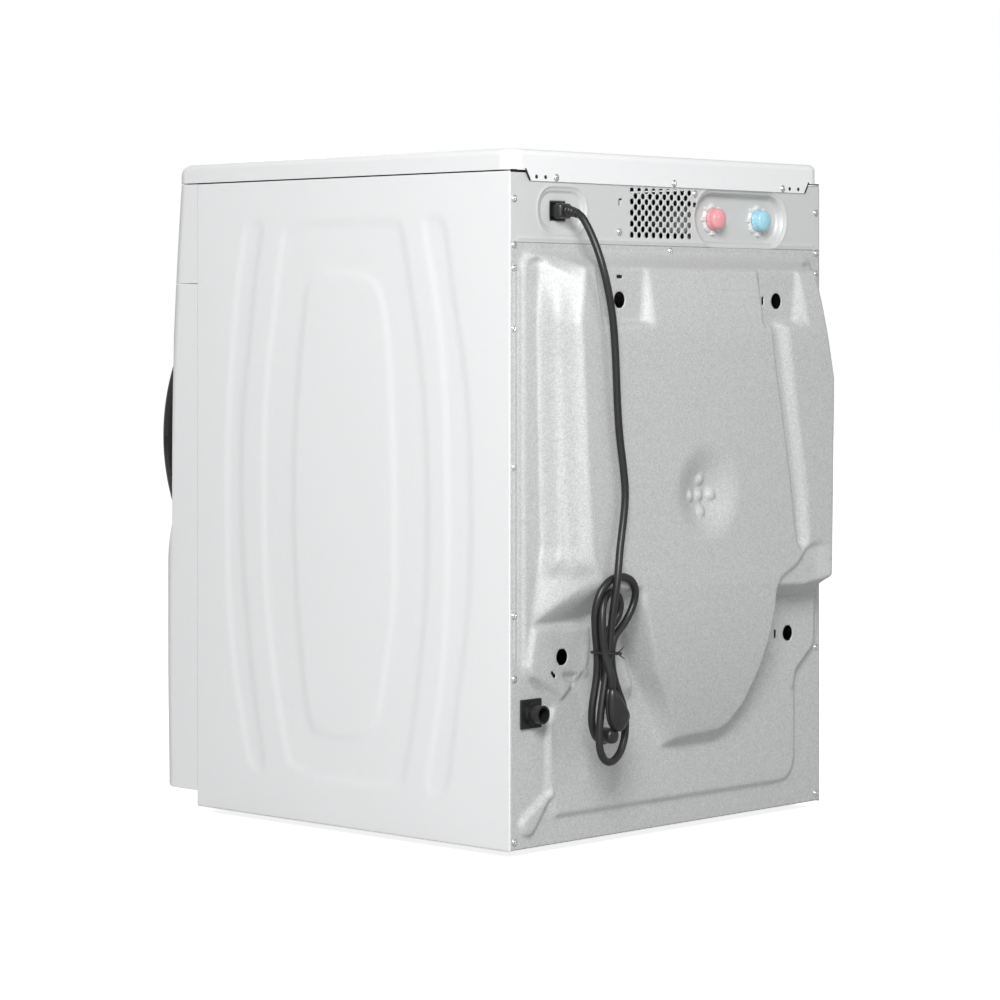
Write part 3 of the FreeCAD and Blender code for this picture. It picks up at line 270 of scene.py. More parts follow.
def edge_distance(points, X, Z):
    """Distance to a closed outline, positive inside it."""
    best = np.full(X.shape, 1e9)
    inside = np.zeros(X.shape, bool)
    for (x0, z0), (x1, z1) in zip(points, points[1:] + points[:1]):
        ex, ez = x1 - x0, z1 - z0
        t = np.clip(((X - x0) * ex + (Z - z0) * ez) / (ex * ex + ez * ez), 0, 1)
        best = np.minimum(best, np.hypot(X - x0 - t * ex, Z - z0 - t * ez))
        if z0 != z1:
            crosses = ((z0 > Z) != (z1 > Z)) & (X < x0 + (Z - z0) * ex / ez)
            inside ^= crosses
    return np.where(inside, best, -best)


def rise(foot, crest, X, Z):
    """0 outside the foot outline, 1 inside the crest outline, and an even slope between."""
    from_foot = np.maximum(edge_distance(foot, X, Z), 0)
    to_crest = np.maximum(-edge_distance(crest, X, Z), 0)
    return from_foot / np.maximum(from_foot + to_crest, 1e-9)


def softened(field, cells):
    """A blur that rounds the folds of a pressing."""
    reach = int(3 * cells) + 1
    kernel = np.exp(-0.5 * (np.arange(-reach, reach + 1) / cells) ** 2)
    kernel /= kernel.sum()
    for axis in (0, 1):
        padded = np.pad(field, [(reach, reach) if a == axis else (0, 0) for a in (0, 1)], mode="edge")
        field = np.apply_along_axis(lambda line: np.convolve(line, kernel, mode="valid"), axis, padded)
    return field


def smoothstep(low, high, value):
    t = np.clip((value - low) / (high - low), 0, 1)
    return t * t * (3 - 2 * t)


def slot_distance(X, Z, x, z, long, wide, angle):
    """Distance to a straight slot with round ends, positive inside it."""
    c, s = math.cos(angle), math.sin(angle)
    along = (X - x) * c + (Z - z) * s
    across = -(X - x) * s + (Z - z) * c
    half = (long - wide) / 2
    return wide / 2 - np.hypot(np.maximum(np.abs(along) - half, 0), across)


def eased(points, rounds=2):
    """An outline with its corners cut back, again and again, to a smooth curve."""
    for _ in range(rounds):
        cut = []
        for (x0, z0), (x1, z1) in zip(points, points[1:] + points[:1]):
            for share in (0.25, 0.75):
                cut.append(((1 - share) * x0 + share * x1, (1 - share) * z0 + share * z1))
        points = cut
    return points


def box_distance(X, Z, x, z, half_x, half_z, radius=0.0):
    """Distance to a rectangle with round corners, positive inside it."""
    dx = np.abs(X - x) - half_x + radius
    dz = np.abs(Z - z) - half_z + radius
    return radius - np.hypot(np.maximum(dx, 0), np.maximum(dz, 0)) - np.minimum(np.maximum(dx, dz), 0)


def lathed(name, profile, centre, slot_name, body="root", sides=48, flutes=0, flute_depth=0.0, toward=1):
    """A profile of (radius, y) points turned round the y axis at centre (x, z).
    Its widest part may be fluted. toward is -1 for a piece that faces the front."""
    x0, z0 = centre
    widest = max(r for r, _ in profile)
    verts = []
    for r, y in profile:
        fluted = flutes and r > 0.9 * widest
        for k in range(sides):
            turn = 2 * math.pi * k / sides
            ripple = flute_depth * (0.5 + 0.5 * math.cos(flutes * turn)) if fluted else 0.0
            verts.append(place(x0 + (r - ripple) * math.cos(turn), y, z0 + (r - ripple) * math.sin(turn)))
    return to_object(name, verts, bands(len(profile), sides, flip=toward > 0), slot_name, body)


def swept(name, path, radii, slot_name, sides=24):
    """A round tube of changing radius along a path of points, closed at both ends."""
    verts = []
    points = [Vector(p) for p in path]
    for i, point in enumerate(points):
        ahead = points[min(i + 1, len(points) - 1)] - points[max(i - 1, 0)]
        side = Vector((1, 0, 0))
        up = ahead.normalized().cross(side)
        for k in range(sides):
            turn = 2 * math.pi * k / sides
            verts.append(place(*(point + radii[i] * (side * math.cos(turn) + up * math.sin(turn)))))
    faces = bands(len(points), sides)
    faces.append(list(range(sides))[::-1])
    faces.append(list(range(len(verts) - sides, len(verts))))
    return to_object(name, verts, faces, slot_name)


def sheet_mesh(name, U, V, outward, to_point, holes, slot_name, thickness, pitch, flip=False):
    """A pressed sheet on a grid, with its holes cut out and their rims drawn onto the hole's edge."""
    rows, columns = U.shape
    U, V = U.copy(), V.copy()
    step, reach = 0.25 * pitch, 0.55 * pitch
    keep = np.ones(U.shape, bool)
    for hole in holes:
        d = hole(U, V)
        gu = (hole(U + step, V) - hole(U - step, V)) / (2 * step)
        gv = (hole(U, V + step) - hole(U, V - step)) / (2 * step)
        near = np.abs(d) < reach
        U = np.where(near, U - d * gu, U)
        V = np.where(near, V - d * gv, V)
        keep &= ~(d >= reach)
    index = np.arange(rows * columns).reshape(rows, columns)
    a, b = index[:-1, :-1], index[:-1, 1:]
    c, e = index[1:, 1:], index[1:, :-1]
    inside = keep[:-1, :-1] & keep[:-1, 1:] & keep[1:, 1:] & keep[1:, :-1]
    middle_u = (U[:-1, :-1] + U[:-1, 1:] + U[1:, 1:] + U[1:, :-1]) / 4
    middle_v = (V[:-1, :-1] + V[:-1, 1:] + V[1:, 1:] + V[1:, :-1]) / 4
    for hole in holes:
        inside &= hole(middle_u, middle_v) < 0
    quads = np.stack([a[inside], b[inside], c[inside], e[inside]], 1)
    if flip:
        quads = quads[:, ::-1]
    points = to_point(U, V, outward).reshape(-1, 3)
    used = np.unique(quads)
    renumber = np.full(rows * columns, -1)
    renumber[used] = np.arange(len(used))
    obj = to_object(name, points[used].tolist(), renumber[quads].tolist(), slot_name)
    solid = obj.modifiers.new("sheet", "SOLIDIFY")
    solid.thickness = thickness * MM
    solid.offset = -1
    return obj


def grid(u0, u1, v0, v1, pitch):
    """Even points over a rectangle, about a pitch apart."""
    us = np.linspace(u0, u1, int(round((u1 - u0) / pitch)) + 1)
    vs = np.linspace(v0, v1, int(round((v1 - v0) / pitch)) + 1)
    return np.meshgrid(us, vs)


def back_point(X, Z, Y):
    """Points of the back, from their height Y over the side panels' rear edge."""
    return np.stack([X * MM, (Y + REAR_SHIFT) * MM, (Z + FOOT_DROP) * MM], -1)


# ---- rear panel ---------------------------------------------------------------------------
# Outlines are (x, z) in the cabinet frame; each pressing slopes from its foot to its crest.
BACK_HALF, SEAM = 296.3, 728.0
PAN_DEPTH, CROWN, SEAT_LEVEL = 5.0, 58.0, 44.5
PAN = [
    (281, 694), (279, 706), (272, 714), (260, 717), (-262, 717), (-273, 713), (-279, 703), (-281, 690),
    (-284, 214), (-242, 180), (-242, 64), (-236, 48), (-224, 38), (-206, 36), (222, 36), (232, 60),
    (234, 150), (226, 170), (247, 191), (269, 204), (281, 222),
]
BODY_FOOT = [
    (252, 712), (-254, 712), (-262, 640), (-272, 562), (-271, 305), (-258, 274), (148, 279), (165, 277),
    (214, 273), (265, 271), (262, 290), (247, 365), (252, 560), (253, 632),
]
BODY_CREST = [
    (216, 700), (-228, 700), (-240, 632), (-257, 560), (-252, 305), (-200, 296), (150, 312), (196, 318),
    (211, 345), (214, 360), (222, 450), (228, 550), (234, 632),
]
KEEL_FOOT = [
    (140, 330), (-160, 330), (-156, 290), (-150, 240), (-138, 190), (-116, 138), (-92, 108), (-70, 102),
    (32, 104), (60, 160), (92, 215), (130, 286),
]
KEEL_CREST = [
    (125, 330), (-146, 330), (-142, 290), (-136, 240), (-124, 196), (-102, 150), (-80, 128), (-62, 120),
    (18, 116), (45, 160), (77, 200), (116, 286),
]
WEDGE_FOOT = [(170, 282), (140, 296), (118, 262), (98, 212), (84, 172), (96, 166), (120, 180), (160, 205)]
WEDGE_CREST = [(148, 276), (142, 280), (124, 250), (108, 212), (97, 186), (102, 186), (116, 212), (132, 246)]
SHELF = [
    (-196, 346), (-186, 332), (-168, 320), (-150, 314), (-141, 304), (-137, 290), (-137, 270), (-300, 270),
    (-300, 350), (-215, 352),
]
SEAT_RIMS = [
    [(198, 706), (103, 702), (99, 629), (191, 629)],
    [(-109, 706), (-191, 702), (-203, 629), (-113, 629)],
]
SEAT_FLOORS = [
    [(196, 702), (105, 700), (113, 634), (190, 634)],
    [(-111, 702), (-190, 700), (-182, 634), (-114, 634)],
]
GROOVE_RIM = [
    (-127, 634), (-135, 580), (-152, 500), (-167, 420), (-178, 350), (-186, 338), (-205, 345), (-199, 420),
    (-185, 490), (-172, 560), (-160, 634),
]
GROOVE_FLOOR = [
    (-132, 630), (-140, 580), (-157, 500), (-172, 420), (-183, 356), (-190, 352), (-187, 400), (-174, 480),
    (-159, 560), (-146, 630),
]
LOWER_SEATS = [
    [(-179, 276), (-172, 230), (-176, 208), (-232, 150), (-238, 178), (-277, 210), (-279, 276)],
    [
        (266, 270), (165, 266), (162, 249), (164, 222), (170, 212), (190, 196), (215, 175), (227, 185),
        (252, 200), (272, 208), (276, 220),
    ],
]
HOLLOW = [(220, 212), (187, 208), (191, 191), (208, 200)]
WALL_STEPS = ([0, 0.15, 0.47, 0.6, 1], [0, 0.43, 0.53, 0.77, 1])
TEAR_TOP, TEAR_RUN = (231, 65), (37, -33)
DISH = (0, 422)


def ridge(U, u, width, height):
    """A narrow raised line along u."""
    return height * np.exp(-(((U - u) / width) ** 2))


def main_bulge(X, Z, pan):
    """The wide bulge round the tub, a little lower at its top, with steps in its +x wall."""
    crown = CROWN - 11.0 * np.clip((Z - 610) / 90, 0, 1) ** 1.7
    wall = rise(BODY_FOOT, BODY_CREST, X, Z)
    stepped = np.interp(wall, *WALL_STEPS)
    share = smoothstep(150, 180, X) * smoothstep(325, 350, Z) * (1 - smoothstep(640, 690, Z))
    return pan + (crown - pan) * (wall + share * (stepped - wall))


def keel(X, Z, pan):
    """The bulge's lower end, which runs out towards the floor."""
    top = CROWN - 36 * np.clip((322 - Z) / 206, 0, 1) ** 1.7
    return pan + (top - pan) * rise(KEEL_FOOT, KEEL_CREST, X, Z)


def with_seats(height, X, Z):
    """The shelf, the upper bolts' seats, the long groove and the lower bolts' seats."""
    shelf = smoothstep(0, 7, edge_distance(eased(SHELF, 1), X, Z))
    height = height - 5.0 * shelf * smoothstep(20, 50, height) * smoothstep(-250, -215, X)
    for rim, floor in zip(SEAT_RIMS, SEAT_FLOORS):
        share = rise(rim, floor, X, Z)
        seated = np.minimum(height, height + (SEAT_LEVEL - height) * share)
        height = np.where(share > 0, seated, height)
    height -= 9.5 * smoothstep(0, 1, rise(GROOVE_RIM, GROOVE_FLOOR, X, Z))
    for seat in LOWER_SEATS:
        height += 5.5 * smoothstep(0, 4.5, edge_distance(seat, X, Z)) * (1 - smoothstep(9, 17, height))
    return height - 6.0 * smoothstep(0, 3, edge_distance(HOLLOW, X, Z)) * (1 - smoothstep(10, 19, height))


def low_relief(X, Z):
    """The teardrop in the lower corner, the knuckle, and the beads along the pan's edges."""
    (x0, z0), (dx, dz) = TEAR_TOP, TEAR_RUN
    along = np.clip(((X - x0) * dx + (Z - z0) * dz) / (dx * dx + dz * dz), 0, 1)
    from_tear = np.hypot(X - x0 - dx * along, Z - z0 - dz * along) - (1.0 + 9.0 * along)
    relief = 6.0 * (1 - smoothstep(0, 5, from_tear))
    relief += 5.0 * (1 - smoothstep(1, 8, np.hypot(X - 171, Z - 208)))
    relief += ridge(X, 233, 3.0, 3.0) * smoothstep(62, 74, Z) * (1 - smoothstep(140, 156, Z))
    along_top = smoothstep(-275, -255, X) * (1 - smoothstep(262, 276, X))
    return relief + (ridge(Z, 713, 3.6, 4.2) - ridge(Z, 704, 3.0, 2.0)) * along_top


def dish(X, Z):
    """The round dish over the drum's shaft, with five small bumps."""
    x0, z0 = DISH
    depth = -15.0 * (1 - smoothstep(6, 64, np.hypot(X - x0, Z - z0)))
    for dx, dz in ((0, 0), (20, 0), (-20, 0), (0, 19), (0, -19)):
        depth += 4.2 * (1 - smoothstep(2, 10, np.hypot(X - x0 - 2 - dx, Z - z0 + 4 - dz)))
    return depth


def side_beads(X, Z):
    """Two fine beads down each side edge."""
    down_side = smoothstep(215, 235, Z) * (1 - smoothstep(690, 708, Z))
    return sum(ridge(X, sign * x, 1.5, 1.8) for x in (283.0, 289.0) for sign in (1, -1)) * down_side


def rear_height(X, Z):
    """How far the pressing stands out behind the side panels' rear edge."""
    pan_crest = [(x * 0.986, 376 + (z - 376) * 0.99) for x, z in PAN]
    pan = PAN_DEPTH * rise(PAN, pan_crest, X, Z)
    wedge = pan + 14.0 * rise(WEDGE_FOOT, WEDGE_CREST, X, Z)
    height = np.maximum(np.maximum(main_bulge(X, Z, pan), keel(X, Z, pan)), wedge)
    height = with_seats(height, X, Z) + low_relief(X, Z)
    return softened(height, 1.1) + dish(X, Z) + side_beads(X, Z)


BOLT_RADIUS = 10.0
BOLT_HOLES = ((151.0, 660.0), (-151.0, 660.0), (217.0, 230.0), (-217.0, 230.0))
SLOTS = ((151.0, 688.0, 11.0, 4.0, 0.0), (-123.5, 660.0, 11.0, 4.0, math.pi / 2),
         (232.5, 210.0, 11.0, 4.0, 0.85), (-191.0, 230.5, 11.0, 4.0, math.pi / 2))


def rear_panel():
    """The lower back: one pressed sheet with its bolt holes, slots and outlet cut out."""
    pitch = 2.0
    X, Z = grid(-BACK_HALF, BACK_HALF, 4.2, SEAM - 0.3, pitch)
    holes = [lambda U, V, x=x, z=z: BOLT_RADIUS - np.hypot(U - x, V - z) for x, z in BOLT_HOLES]
    holes += [lambda U, V, s=s: slot_distance(U, V, *s) for s in SLOTS]
    holes.append(lambda U, V: np.minimum(15.5 - np.abs(U - 262.5), 15.0 - np.abs(V - 165)))  # drain outlet
    height = rear_height(X, Z)
    panel = sheet_mesh("rear_pressing", X, Z, height, back_point, holes, "galvanised", 1.0, pitch, True)
    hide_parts("rear_panel")


rear_panel()


# ---- upper rear panel ---------------------------------------------------------------------
VENT_PITCH, VENT_ROW, VENT_RADIUS, VENT_CORNER = 13.7, 6.85, 3.7, (77, 741)
VALVES = {"valve_cap_hot": (-89.5, "red_cap"), "valve_cap_cold": (-180.5, "blue_cap")}
VALVE_Z, VALVE_HOLE = 764.5, 11.5
LIP = 1.6
INLET = (209.0, 767.0)


def tray(X, Z, x, z, half_x, half_z, radius, depth):
    """A pressed tray with a shallow outer lip round its wall."""
    inside = box_distance(X, Z, x, z, half_x + 5, half_z + 5, radius + 5)
    lip = ridge(inside, -1.0, 1.4, 0.7)
    return LIP * smoothstep(0, 1.6, inside) + (depth - LIP) * smoothstep(4.5, 7.0, inside) - lip


def vent_holes():
    """The middles of nine staggered rows of holes."""
    spots = []
    for row in range(9):
        odd = row % 2
        first = VENT_CORNER[0] - odd * VENT_PITCH / 2
        for column in range(9 - odd):
            spots.append((first - column * VENT_PITCH, VENT_CORNER[1] + row * VENT_ROW))
    return spots


def nearest(spots, radius):
    """Distance to the closest of many round holes, positive inside it."""
    def distance(U, V):
        best = np.full(U.shape, -1e9)
        for x, z in spots:
            best = np.maximum(best, radius - np.hypot(U - x, V - z))
        return best
    return distance


def upper_panel():
    """The upper back: two trays, the vent, and the holes for the mains inlet and the valves."""
    pitch = 1.4
    X, Z = grid(-BACK_HALF, BACK_HALF, SEAM, 811.5, pitch)
    height = -tray(X, Z, 204.5, 768, 38.5, 23, 21, 4.0)
    height -= tray(X, Z, -135, 765.5, 87, 31.5, 31, 12.0)
    height += ridge(Z, 733.0, 1.6, 0.9) * (np.abs(X) < 285) * (height > -0.5)
    height = softened(height, 0.45)
    holes = [
        nearest(vent_holes(), VENT_RADIUS),
        nearest([(x, VALVE_Z) for x, _ in VALVES.values()], VALVE_HOLE),
        lambda U, V: box_distance(U, V, INLET[0], INLET[1], 14, 12, 2),
        lambda U, V: box_distance(U, V, -43, 781, 3, 3),
        lambda U, V: np.maximum(
            box_distance(U, V, 101, 780, 1.0, 4.5), box_distance(U, V, 98.6, 784, 3, 1.0)
        ),
    ]
    panel = sheet_mesh(
        "upper_pressing", X, Z, height, back_point, holes, "galvanised_smooth", 1.0, pitch, True
    )
    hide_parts("rear_top_panel")


upper_panel()


# ---- screws -------------------------------------------------------------------------------
# Left and right as seen from behind, so left is +x.
SCREWS_LEFT = (780, 725, 697, 625, 460, 283, 208, 14)
SCREWS_RIGHT = (777, 724, 697, 670, 460, 206, 14)
SCREW_RINGS = (0.0, 0.5, 1.0, 1.5, 2.0, 2.5, 2.9, 3.2, 3.3, 4.3, 4.5, 4.5)
HEAD_RADIUS, HEAD_HEIGHT, WASHER_HEIGHT = 3.25, 2.4, 0.75
CROSS_REACH, CROSS_HALF, CROSS_DEPTH = 2.2, 0.45, 1.1


def screws():
    """Washer-head screws with a crossed recess, as one mesh."""
    spots = [(290.0, z, 0.0) for z in SCREWS_LEFT] + [(-289.0, z, 0.0) for z in SCREWS_RIGHT]
    spots += [(218.0, 807.0, 2.0), (0.0, 807.0, 2.0), (-217.0, 807.0, 2.0), (5.0, 722.0, 0.0)]
    spots += [(101.0, 744.0, 0.0), (-43.0, 795.0, 0.0)]
    sides, last = 32, len(SCREW_RINGS) - 1
    verts, faces = [], []
    for number, (x, z, y) in enumerate(spots):
        quads = bands(len(SCREW_RINGS), sides, len(verts), flip=True)
        faces += [quad[1:] + quad[:1] for quad in quads]  # folds each along its other diagonal
        lean = 0.7 * number
        for ring, r in enumerate(SCREW_RINGS):
            dome = HEAD_HEIGHT - 0.06 * r * r if r < HEAD_RADIUS else WASHER_HEIGHT
            for k in range(sides):
                turn = 2 * math.pi * k / sides
                out = 0.0 if ring == last else dome
                arm = min(abs(r * math.cos(turn - lean)), abs(r * math.sin(turn - lean)))
                if arm < CROSS_HALF and r < CROSS_REACH:
                    out -= CROSS_DEPTH
                verts.append(place(x + r * math.cos(turn), y + out, z + r * math.sin(turn)))
    heads = to_object("screw_heads", verts, faces, "zinc_screw")
    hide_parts("panel_screws")


screws()


# ---- side panels --------------------------------------------------------------------------
# Outlines are (y, z) in the cabinet frame.
SIDE_PRESS, SIDE_WALL, SIDE_EDGE = 1.3, 11, 1.3
SIDE_FRONT, SIDE_FOOT, SIDE_TOP = -560, 3, 813
BARREL = [
    (-385, 57), (-400, 110), (-415, 170), (-430, 260), (-437, 350), (-437, 500), (-428, 590), (-415, 660),
    (-405, 730), (-392, 763), (-185, 763), (-178, 750), (-165, 690), (-150, 620), (-138, 540), (-133, 450),
    (-132, 380), (-136, 280), (-145, 220), (-155, 150), (-170, 90), (-177, 57),
]
ISLAND = [
    (-325, 120), (-342, 130), (-350, 160), (-358, 220), (-368, 300), (-371, 400), (-370, 480), (-362, 570),
    (-352, 640), (-345, 690), (-235, 690), (-215, 640), (-207, 560), (-202, 460), (-200, 350), (-203, 270),
    (-215, 215), (-235, 120),
]
FRONT_GROOVE = [
    (-462, 58), (-475, 110), (-490, 170), (-502, 250), (-507, 350), (-507, 480), (-500, 570), (-493, 640),
    (-480, 720), (-470, 765), (-425, 765), (-435, 730), (-445, 680), (-455, 600), (-468, 520), (-470, 430),
    (-467, 330), (-458, 250), (-447, 170), (-435, 110), (-425, 58),
]
REAR_GROOVE = [
    (-148, 57), (-130, 140), (-120, 190), (-112, 260), (-108, 350), (-110, 450), (-113, 540), (-122, 630),
    (-135, 690), (-150, 750), (-148, 765), (-105, 765), (-95, 700), (-85, 650), (-72, 590), (-63, 530),
    (-60, 450), (-58, 370), (-63, 290), (-70, 235), (-82, 180), (-90, 120), (-100, 57),
]


def side_depth(Y, Z):
    """How far the panel is pressed in, with a rounded edge all round."""
    def pressed(outline, rounds, sign=1):
        return smoothstep(0, SIDE_WALL, sign * edge_distance(eased(outline, rounds), Y, Z))

    depth = SIDE_PRESS * pressed(BARREL, 1) * pressed(ISLAND, 2, -1)
    for groove in (FRONT_GROOVE, REAR_GROOVE):
        depth = np.maximum(depth, SIDE_PRESS * pressed(groove, 1))
    to_edge = np.minimum(np.minimum(-Y, Y - SIDE_FRONT), np.minimum(Z - SIDE_FOOT, SIDE_TOP - Z))
    short = np.clip(SIDE_EDGE - to_edge, 0, SIDE_EDGE)
    corner = SIDE_EDGE - np.sqrt(np.maximum(SIDE_EDGE ** 2 - short ** 2, 0))
    return softened(depth, 0.8) + corner


def side_panels():
    """Both side panels, on a grid that is finer at their edges."""
    ys = np.concatenate([[-560, -559.6, -559], np.linspace(-557.5, -3, 160), [-1.4, -0.9, -0.4, 0]])
    zs = np.concatenate([[3, 3.4, 4.2], np.linspace(6, 810, 215), [811.8, 812.6, 813]])
    Y, Z = np.meshgrid(ys, zs)
    depth = side_depth(Y, Z)
    for side, sign in (("right", 1), ("left", -1)):
        def side_point(U, V, inward, sign=sign):
            x = sign * (HALF_WIDTH - inward)
            return np.stack([x * MM, (U + REAR_SHIFT) * MM, (V + FOOT_DROP) * MM], -1)
        panel = sheet_mesh(
            "side_pressing_" + side, Y, Z, depth, side_point, [], "white_paint", 1.1, 3.0, flip=sign < 0
        )
        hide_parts("side_panel_" + side)


side_panels()


# ---- water inlets -------------------------------------------------------------------------
CAP_PROFILE = [
    (10.2, -8.5), (14.4, -8.5), (14.6, -7.6), (14.2, -6.9), (13.7, -6.6), (13.5, -3), (13.2, 0.4),
    (12.6, 2.0), (11.4, 3.6), (9.0, 5.0), (6.0, 5.9), (3.0, 6.3), (0.01, 6.4),
]


def inlet_caps():
    """The fluted transit caps on the hot and cold valves."""
    for node, (x, slot_name) in VALVES.items():
        cap = lathed(
            node + "_fluted", CAP_PROFILE, (x, VALVE_Z), slot_name, sides=96, flutes=16, flute_depth=0.4
        )
        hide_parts(node)


inlet_caps()


# ---- top cover's rear skirt ---------------------------------------------------------------
# Black blocks in the gaps beside the skirt's ends: painted shade, standing in for the shadow in each gap.
SKIRT_GAP_SHADE = [  # corners (x, z), outer y, inner y
    (((271.0, 816.5), (273.5, 816.5), (265.2, 802.5), (262.7, 802.5)), 2.15, 1.2),
    (((271.0, 813.2), (271.0, 815.0), (296.0, 815.0), (296.0, 813.2)), 0.35, -0.5),
]
SKIRT_DOTS, SKIRT_DOT_Z = (253, 237, -232, -250), 807
DOT_PROFILE = ((2.4, 2.0), (2.3, 2.35), (1.2, 2.45), (0.01, 2.45))


def gap_shade_and_dots():
    """Painted shade: black blocks set in the gaps where the cover's skirt ends beside the corner pieces,
    standing in for the shadow in those gaps, and the black dots beside them.
    """
    verts, faces = [], []
    for sign in (1, -1):
        for corners, outer, inner in SKIRT_GAP_SHADE:
            start = len(verts)
            for x, z in corners:
                verts += [place(sign * x, outer, z), place(sign * x, inner, z)]
            top = [start, start + 2, start + 4, start + 6]
            faces.append(top if sign > 0 else top[::-1])
            for k in range(4):
                n = (k + 1) % 4
                faces.append([start + 2 * k, start + 2 * n, start + 2 * n + 1, start + 2 * k + 1])
    sides = 16
    for x in SKIRT_DOTS:
        faces += bands(len(DOT_PROFILE), sides, len(verts), flip=True)
        for radius, y in DOT_PROFILE:
            for k in range(sides):
                turn = 2 * math.pi * k / sides
                verts.append(place(x + radius * math.cos(turn), y, SKIRT_DOT_Z + radius * math.sin(turn)))
    to_object("gap_shade_and_dots", verts, faces, "black_plastic", smooth=False)


gap_shade_and_dots()


def stretching_springs():
    """The springs again, hung from the crossbar, as a copy of the part's springs with its placing baked in.
    """
    piece = bpy.data.objects.new("springs_hung", NODES["suspension_springs"].data.copy())
    bpy.context.collection.objects.link(piece)
    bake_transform(piece)
    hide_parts("suspension_springs")


stretching_springs()


# ---- controls -----------------------------------------------------------------------------
KNOB = (-10.0, 774.0)
KNOB_PROFILE = [
    (25.9, -610.6), (26.0, -612.5), (25.6, -613.6), (24.6, -622.0), (23.7, -630.0), (22.6, -632.8),
    (20.5, -633.9), (18.0, -634.0), (17.2, -633.3), (8.0, -633.1), (0.01, -633.1),
]
POINTER_CORNERS = ((-0.8, 9), (0.8, 9), (0.8, 17), (-0.8, 17))


def front_y(z):
    """The front face's y at a height, on the parabola through its foot, middle and top."""
    (y0, z0), (y1, z1), (y2, z2) = (-628.8, 48.0), (-631.5, 230.0), (-604.2, 813.0)
    share0 = (z - z1) * (z - z2) / ((z0 - z1) * (z0 - z2))
    share1 = (z - z0) * (z - z2) / ((z1 - z0) * (z1 - z2))
    share2 = (z - z0) * (z - z1) / ((z2 - z0) * (z2 - z1))
    return y0 * share0 + y1 * share1 + y2 * share2


def knob():
    """The fluted program knob, with a raised pointer line on its face."""
    x, z = KNOB
    grip = lathed(
        "knob_fluted", KNOB_PROFILE, KNOB, "silver_plastic", "knob",
        sides=144, flutes=36, flute_depth=0.5, toward=-1,
    )
    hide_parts("program_knob")
    verts = [place(x + dx, y, z + dz) for y in (-633.9, -632.6) for dx, dz in POINTER_CORNERS]
    faces = [[0, 1, 2, 3], [4, 7, 6, 5]] + bands(2, 4)
    to_object("knob_pointer", verts, faces, "black_plastic", "knob", smooth=False)


def dial_marks():
    """Raised dots round the knob, larger at the quarters."""
    verts, faces = [], []
    sides, marks, ring_radius = 16, 16, 33.5
    for mark in range(marks):
        turn = 2 * math.pi * mark / marks
        radius = 1.6 if mark % 4 == 0 else 1.0
        x, z = KNOB[0] + ring_radius * math.sin(turn), KNOB[1] + ring_radius * math.cos(turn)
        profile = ((radius, -0.3), (radius * 0.8, 0.35), (0.01, 0.45))
        faces += bands(len(profile), sides, len(verts))
        for r, out in profile:
            for k in range(sides):
                a = 2 * math.pi * k / sides
                px, pz = x + r * math.cos(a), z + r * math.sin(a)
                verts.append(place(px, front_y(pz) - out, pz))
    to_object("dial_marks", verts, faces, "grey_plastic")


knob()
dial_marks()


# ---- mains cord ---------------------------------------------------------------------------
# Points (x, y, z) in the cabinet frame: the drop first, then the hank's turns.
CORD_RADIUS, CORD_LENGTH = 4.6, 1.56
CORD_DROP = [
    (209, 20, 767.5), (209, 33, 763), (208, 44, 748), (207, 56, 726), (205.5, 66, 700), (199, 70, 668),
    (191, 70, 635), (185.5, 69, 590), (182, 68, 542), (177, 67, 498), (169.5, 67, 459), (165, 67, 425),
    (170, 67, 391), (178, 69, 361), (184, 72, 338), (188, 72.5, 315),
]
HANK_TURNS = [
    (191, 70, 290), (193, 67.5, 264), (193, 66, 238), (198, 65, 212), (204, 65, 186), (209, 65, 161),
    (211, 65, 140), (210, 65, 122), (203, 65, 110), (192, 64.5, 105), (179, 63, 108), (166, 61, 118),
    (157, 59, 135), (154, 57, 155), (158, 56, 173), (168, 56, 191), (178, 57, 213), (181, 57.5, 238),
    (174, 57, 256), (156, 56, 268), (142, 57, 286), (138, 60, 305), (148, 63.5, 321), (168, 64.5, 328),
    (190, 64, 325), (206, 61.5, 310), (211, 58, 288), (208, 56, 262), (203, 55, 238), (202, 54, 213),
    (206, 53, 190), (210, 52, 168), (207, 50, 147), (197, 48.5, 133), (182, 47, 128), (167, 46.5, 134),
    (159, 46, 150), (163, 46, 171), (176, 47, 192), (188, 48, 214), (191, 48.5, 238), (186, 49, 255),
    (170, 50, 267), (158, 52, 283), (162, 55, 301), (180, 58, 310), (198, 62, 304), (207, 66, 286),
    (208, 68, 262), (204.5, 68, 238), (201, 73, 217), (199, 75, 206), (198, 74, 196),
]


def make_cord():
    """The cord's one smooth curve, from the connector to the plug."""
    curve = bpy.data.curves.new("mains_cord", "CURVE")
    curve.dimensions = "3D"
    spline = curve.splines.new("NURBS")
    points = [place(*p) for p in CORD_DROP + HANK_TURNS]
    spline.points.add(len(points) - 1)
    for target, point in zip(spline.points, points):
        target.co = (*point, 1)
    spline.order_u = 3
    spline.use_endpoint_u = True
    curve.resolution_u = 8
    curve.bevel_depth = CORD_RADIUS * MM
    curve.bevel_resolution = 6
    curve.use_fill_caps = True
    curve.materials.append(M["cord_black"])
    cord = bpy.data.objects.new("mains_cord", curve)
    bpy.context.collection.objects.link(cord)
    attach(cord, "root")
    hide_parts("power_cord", "cord_hank")
    return cord


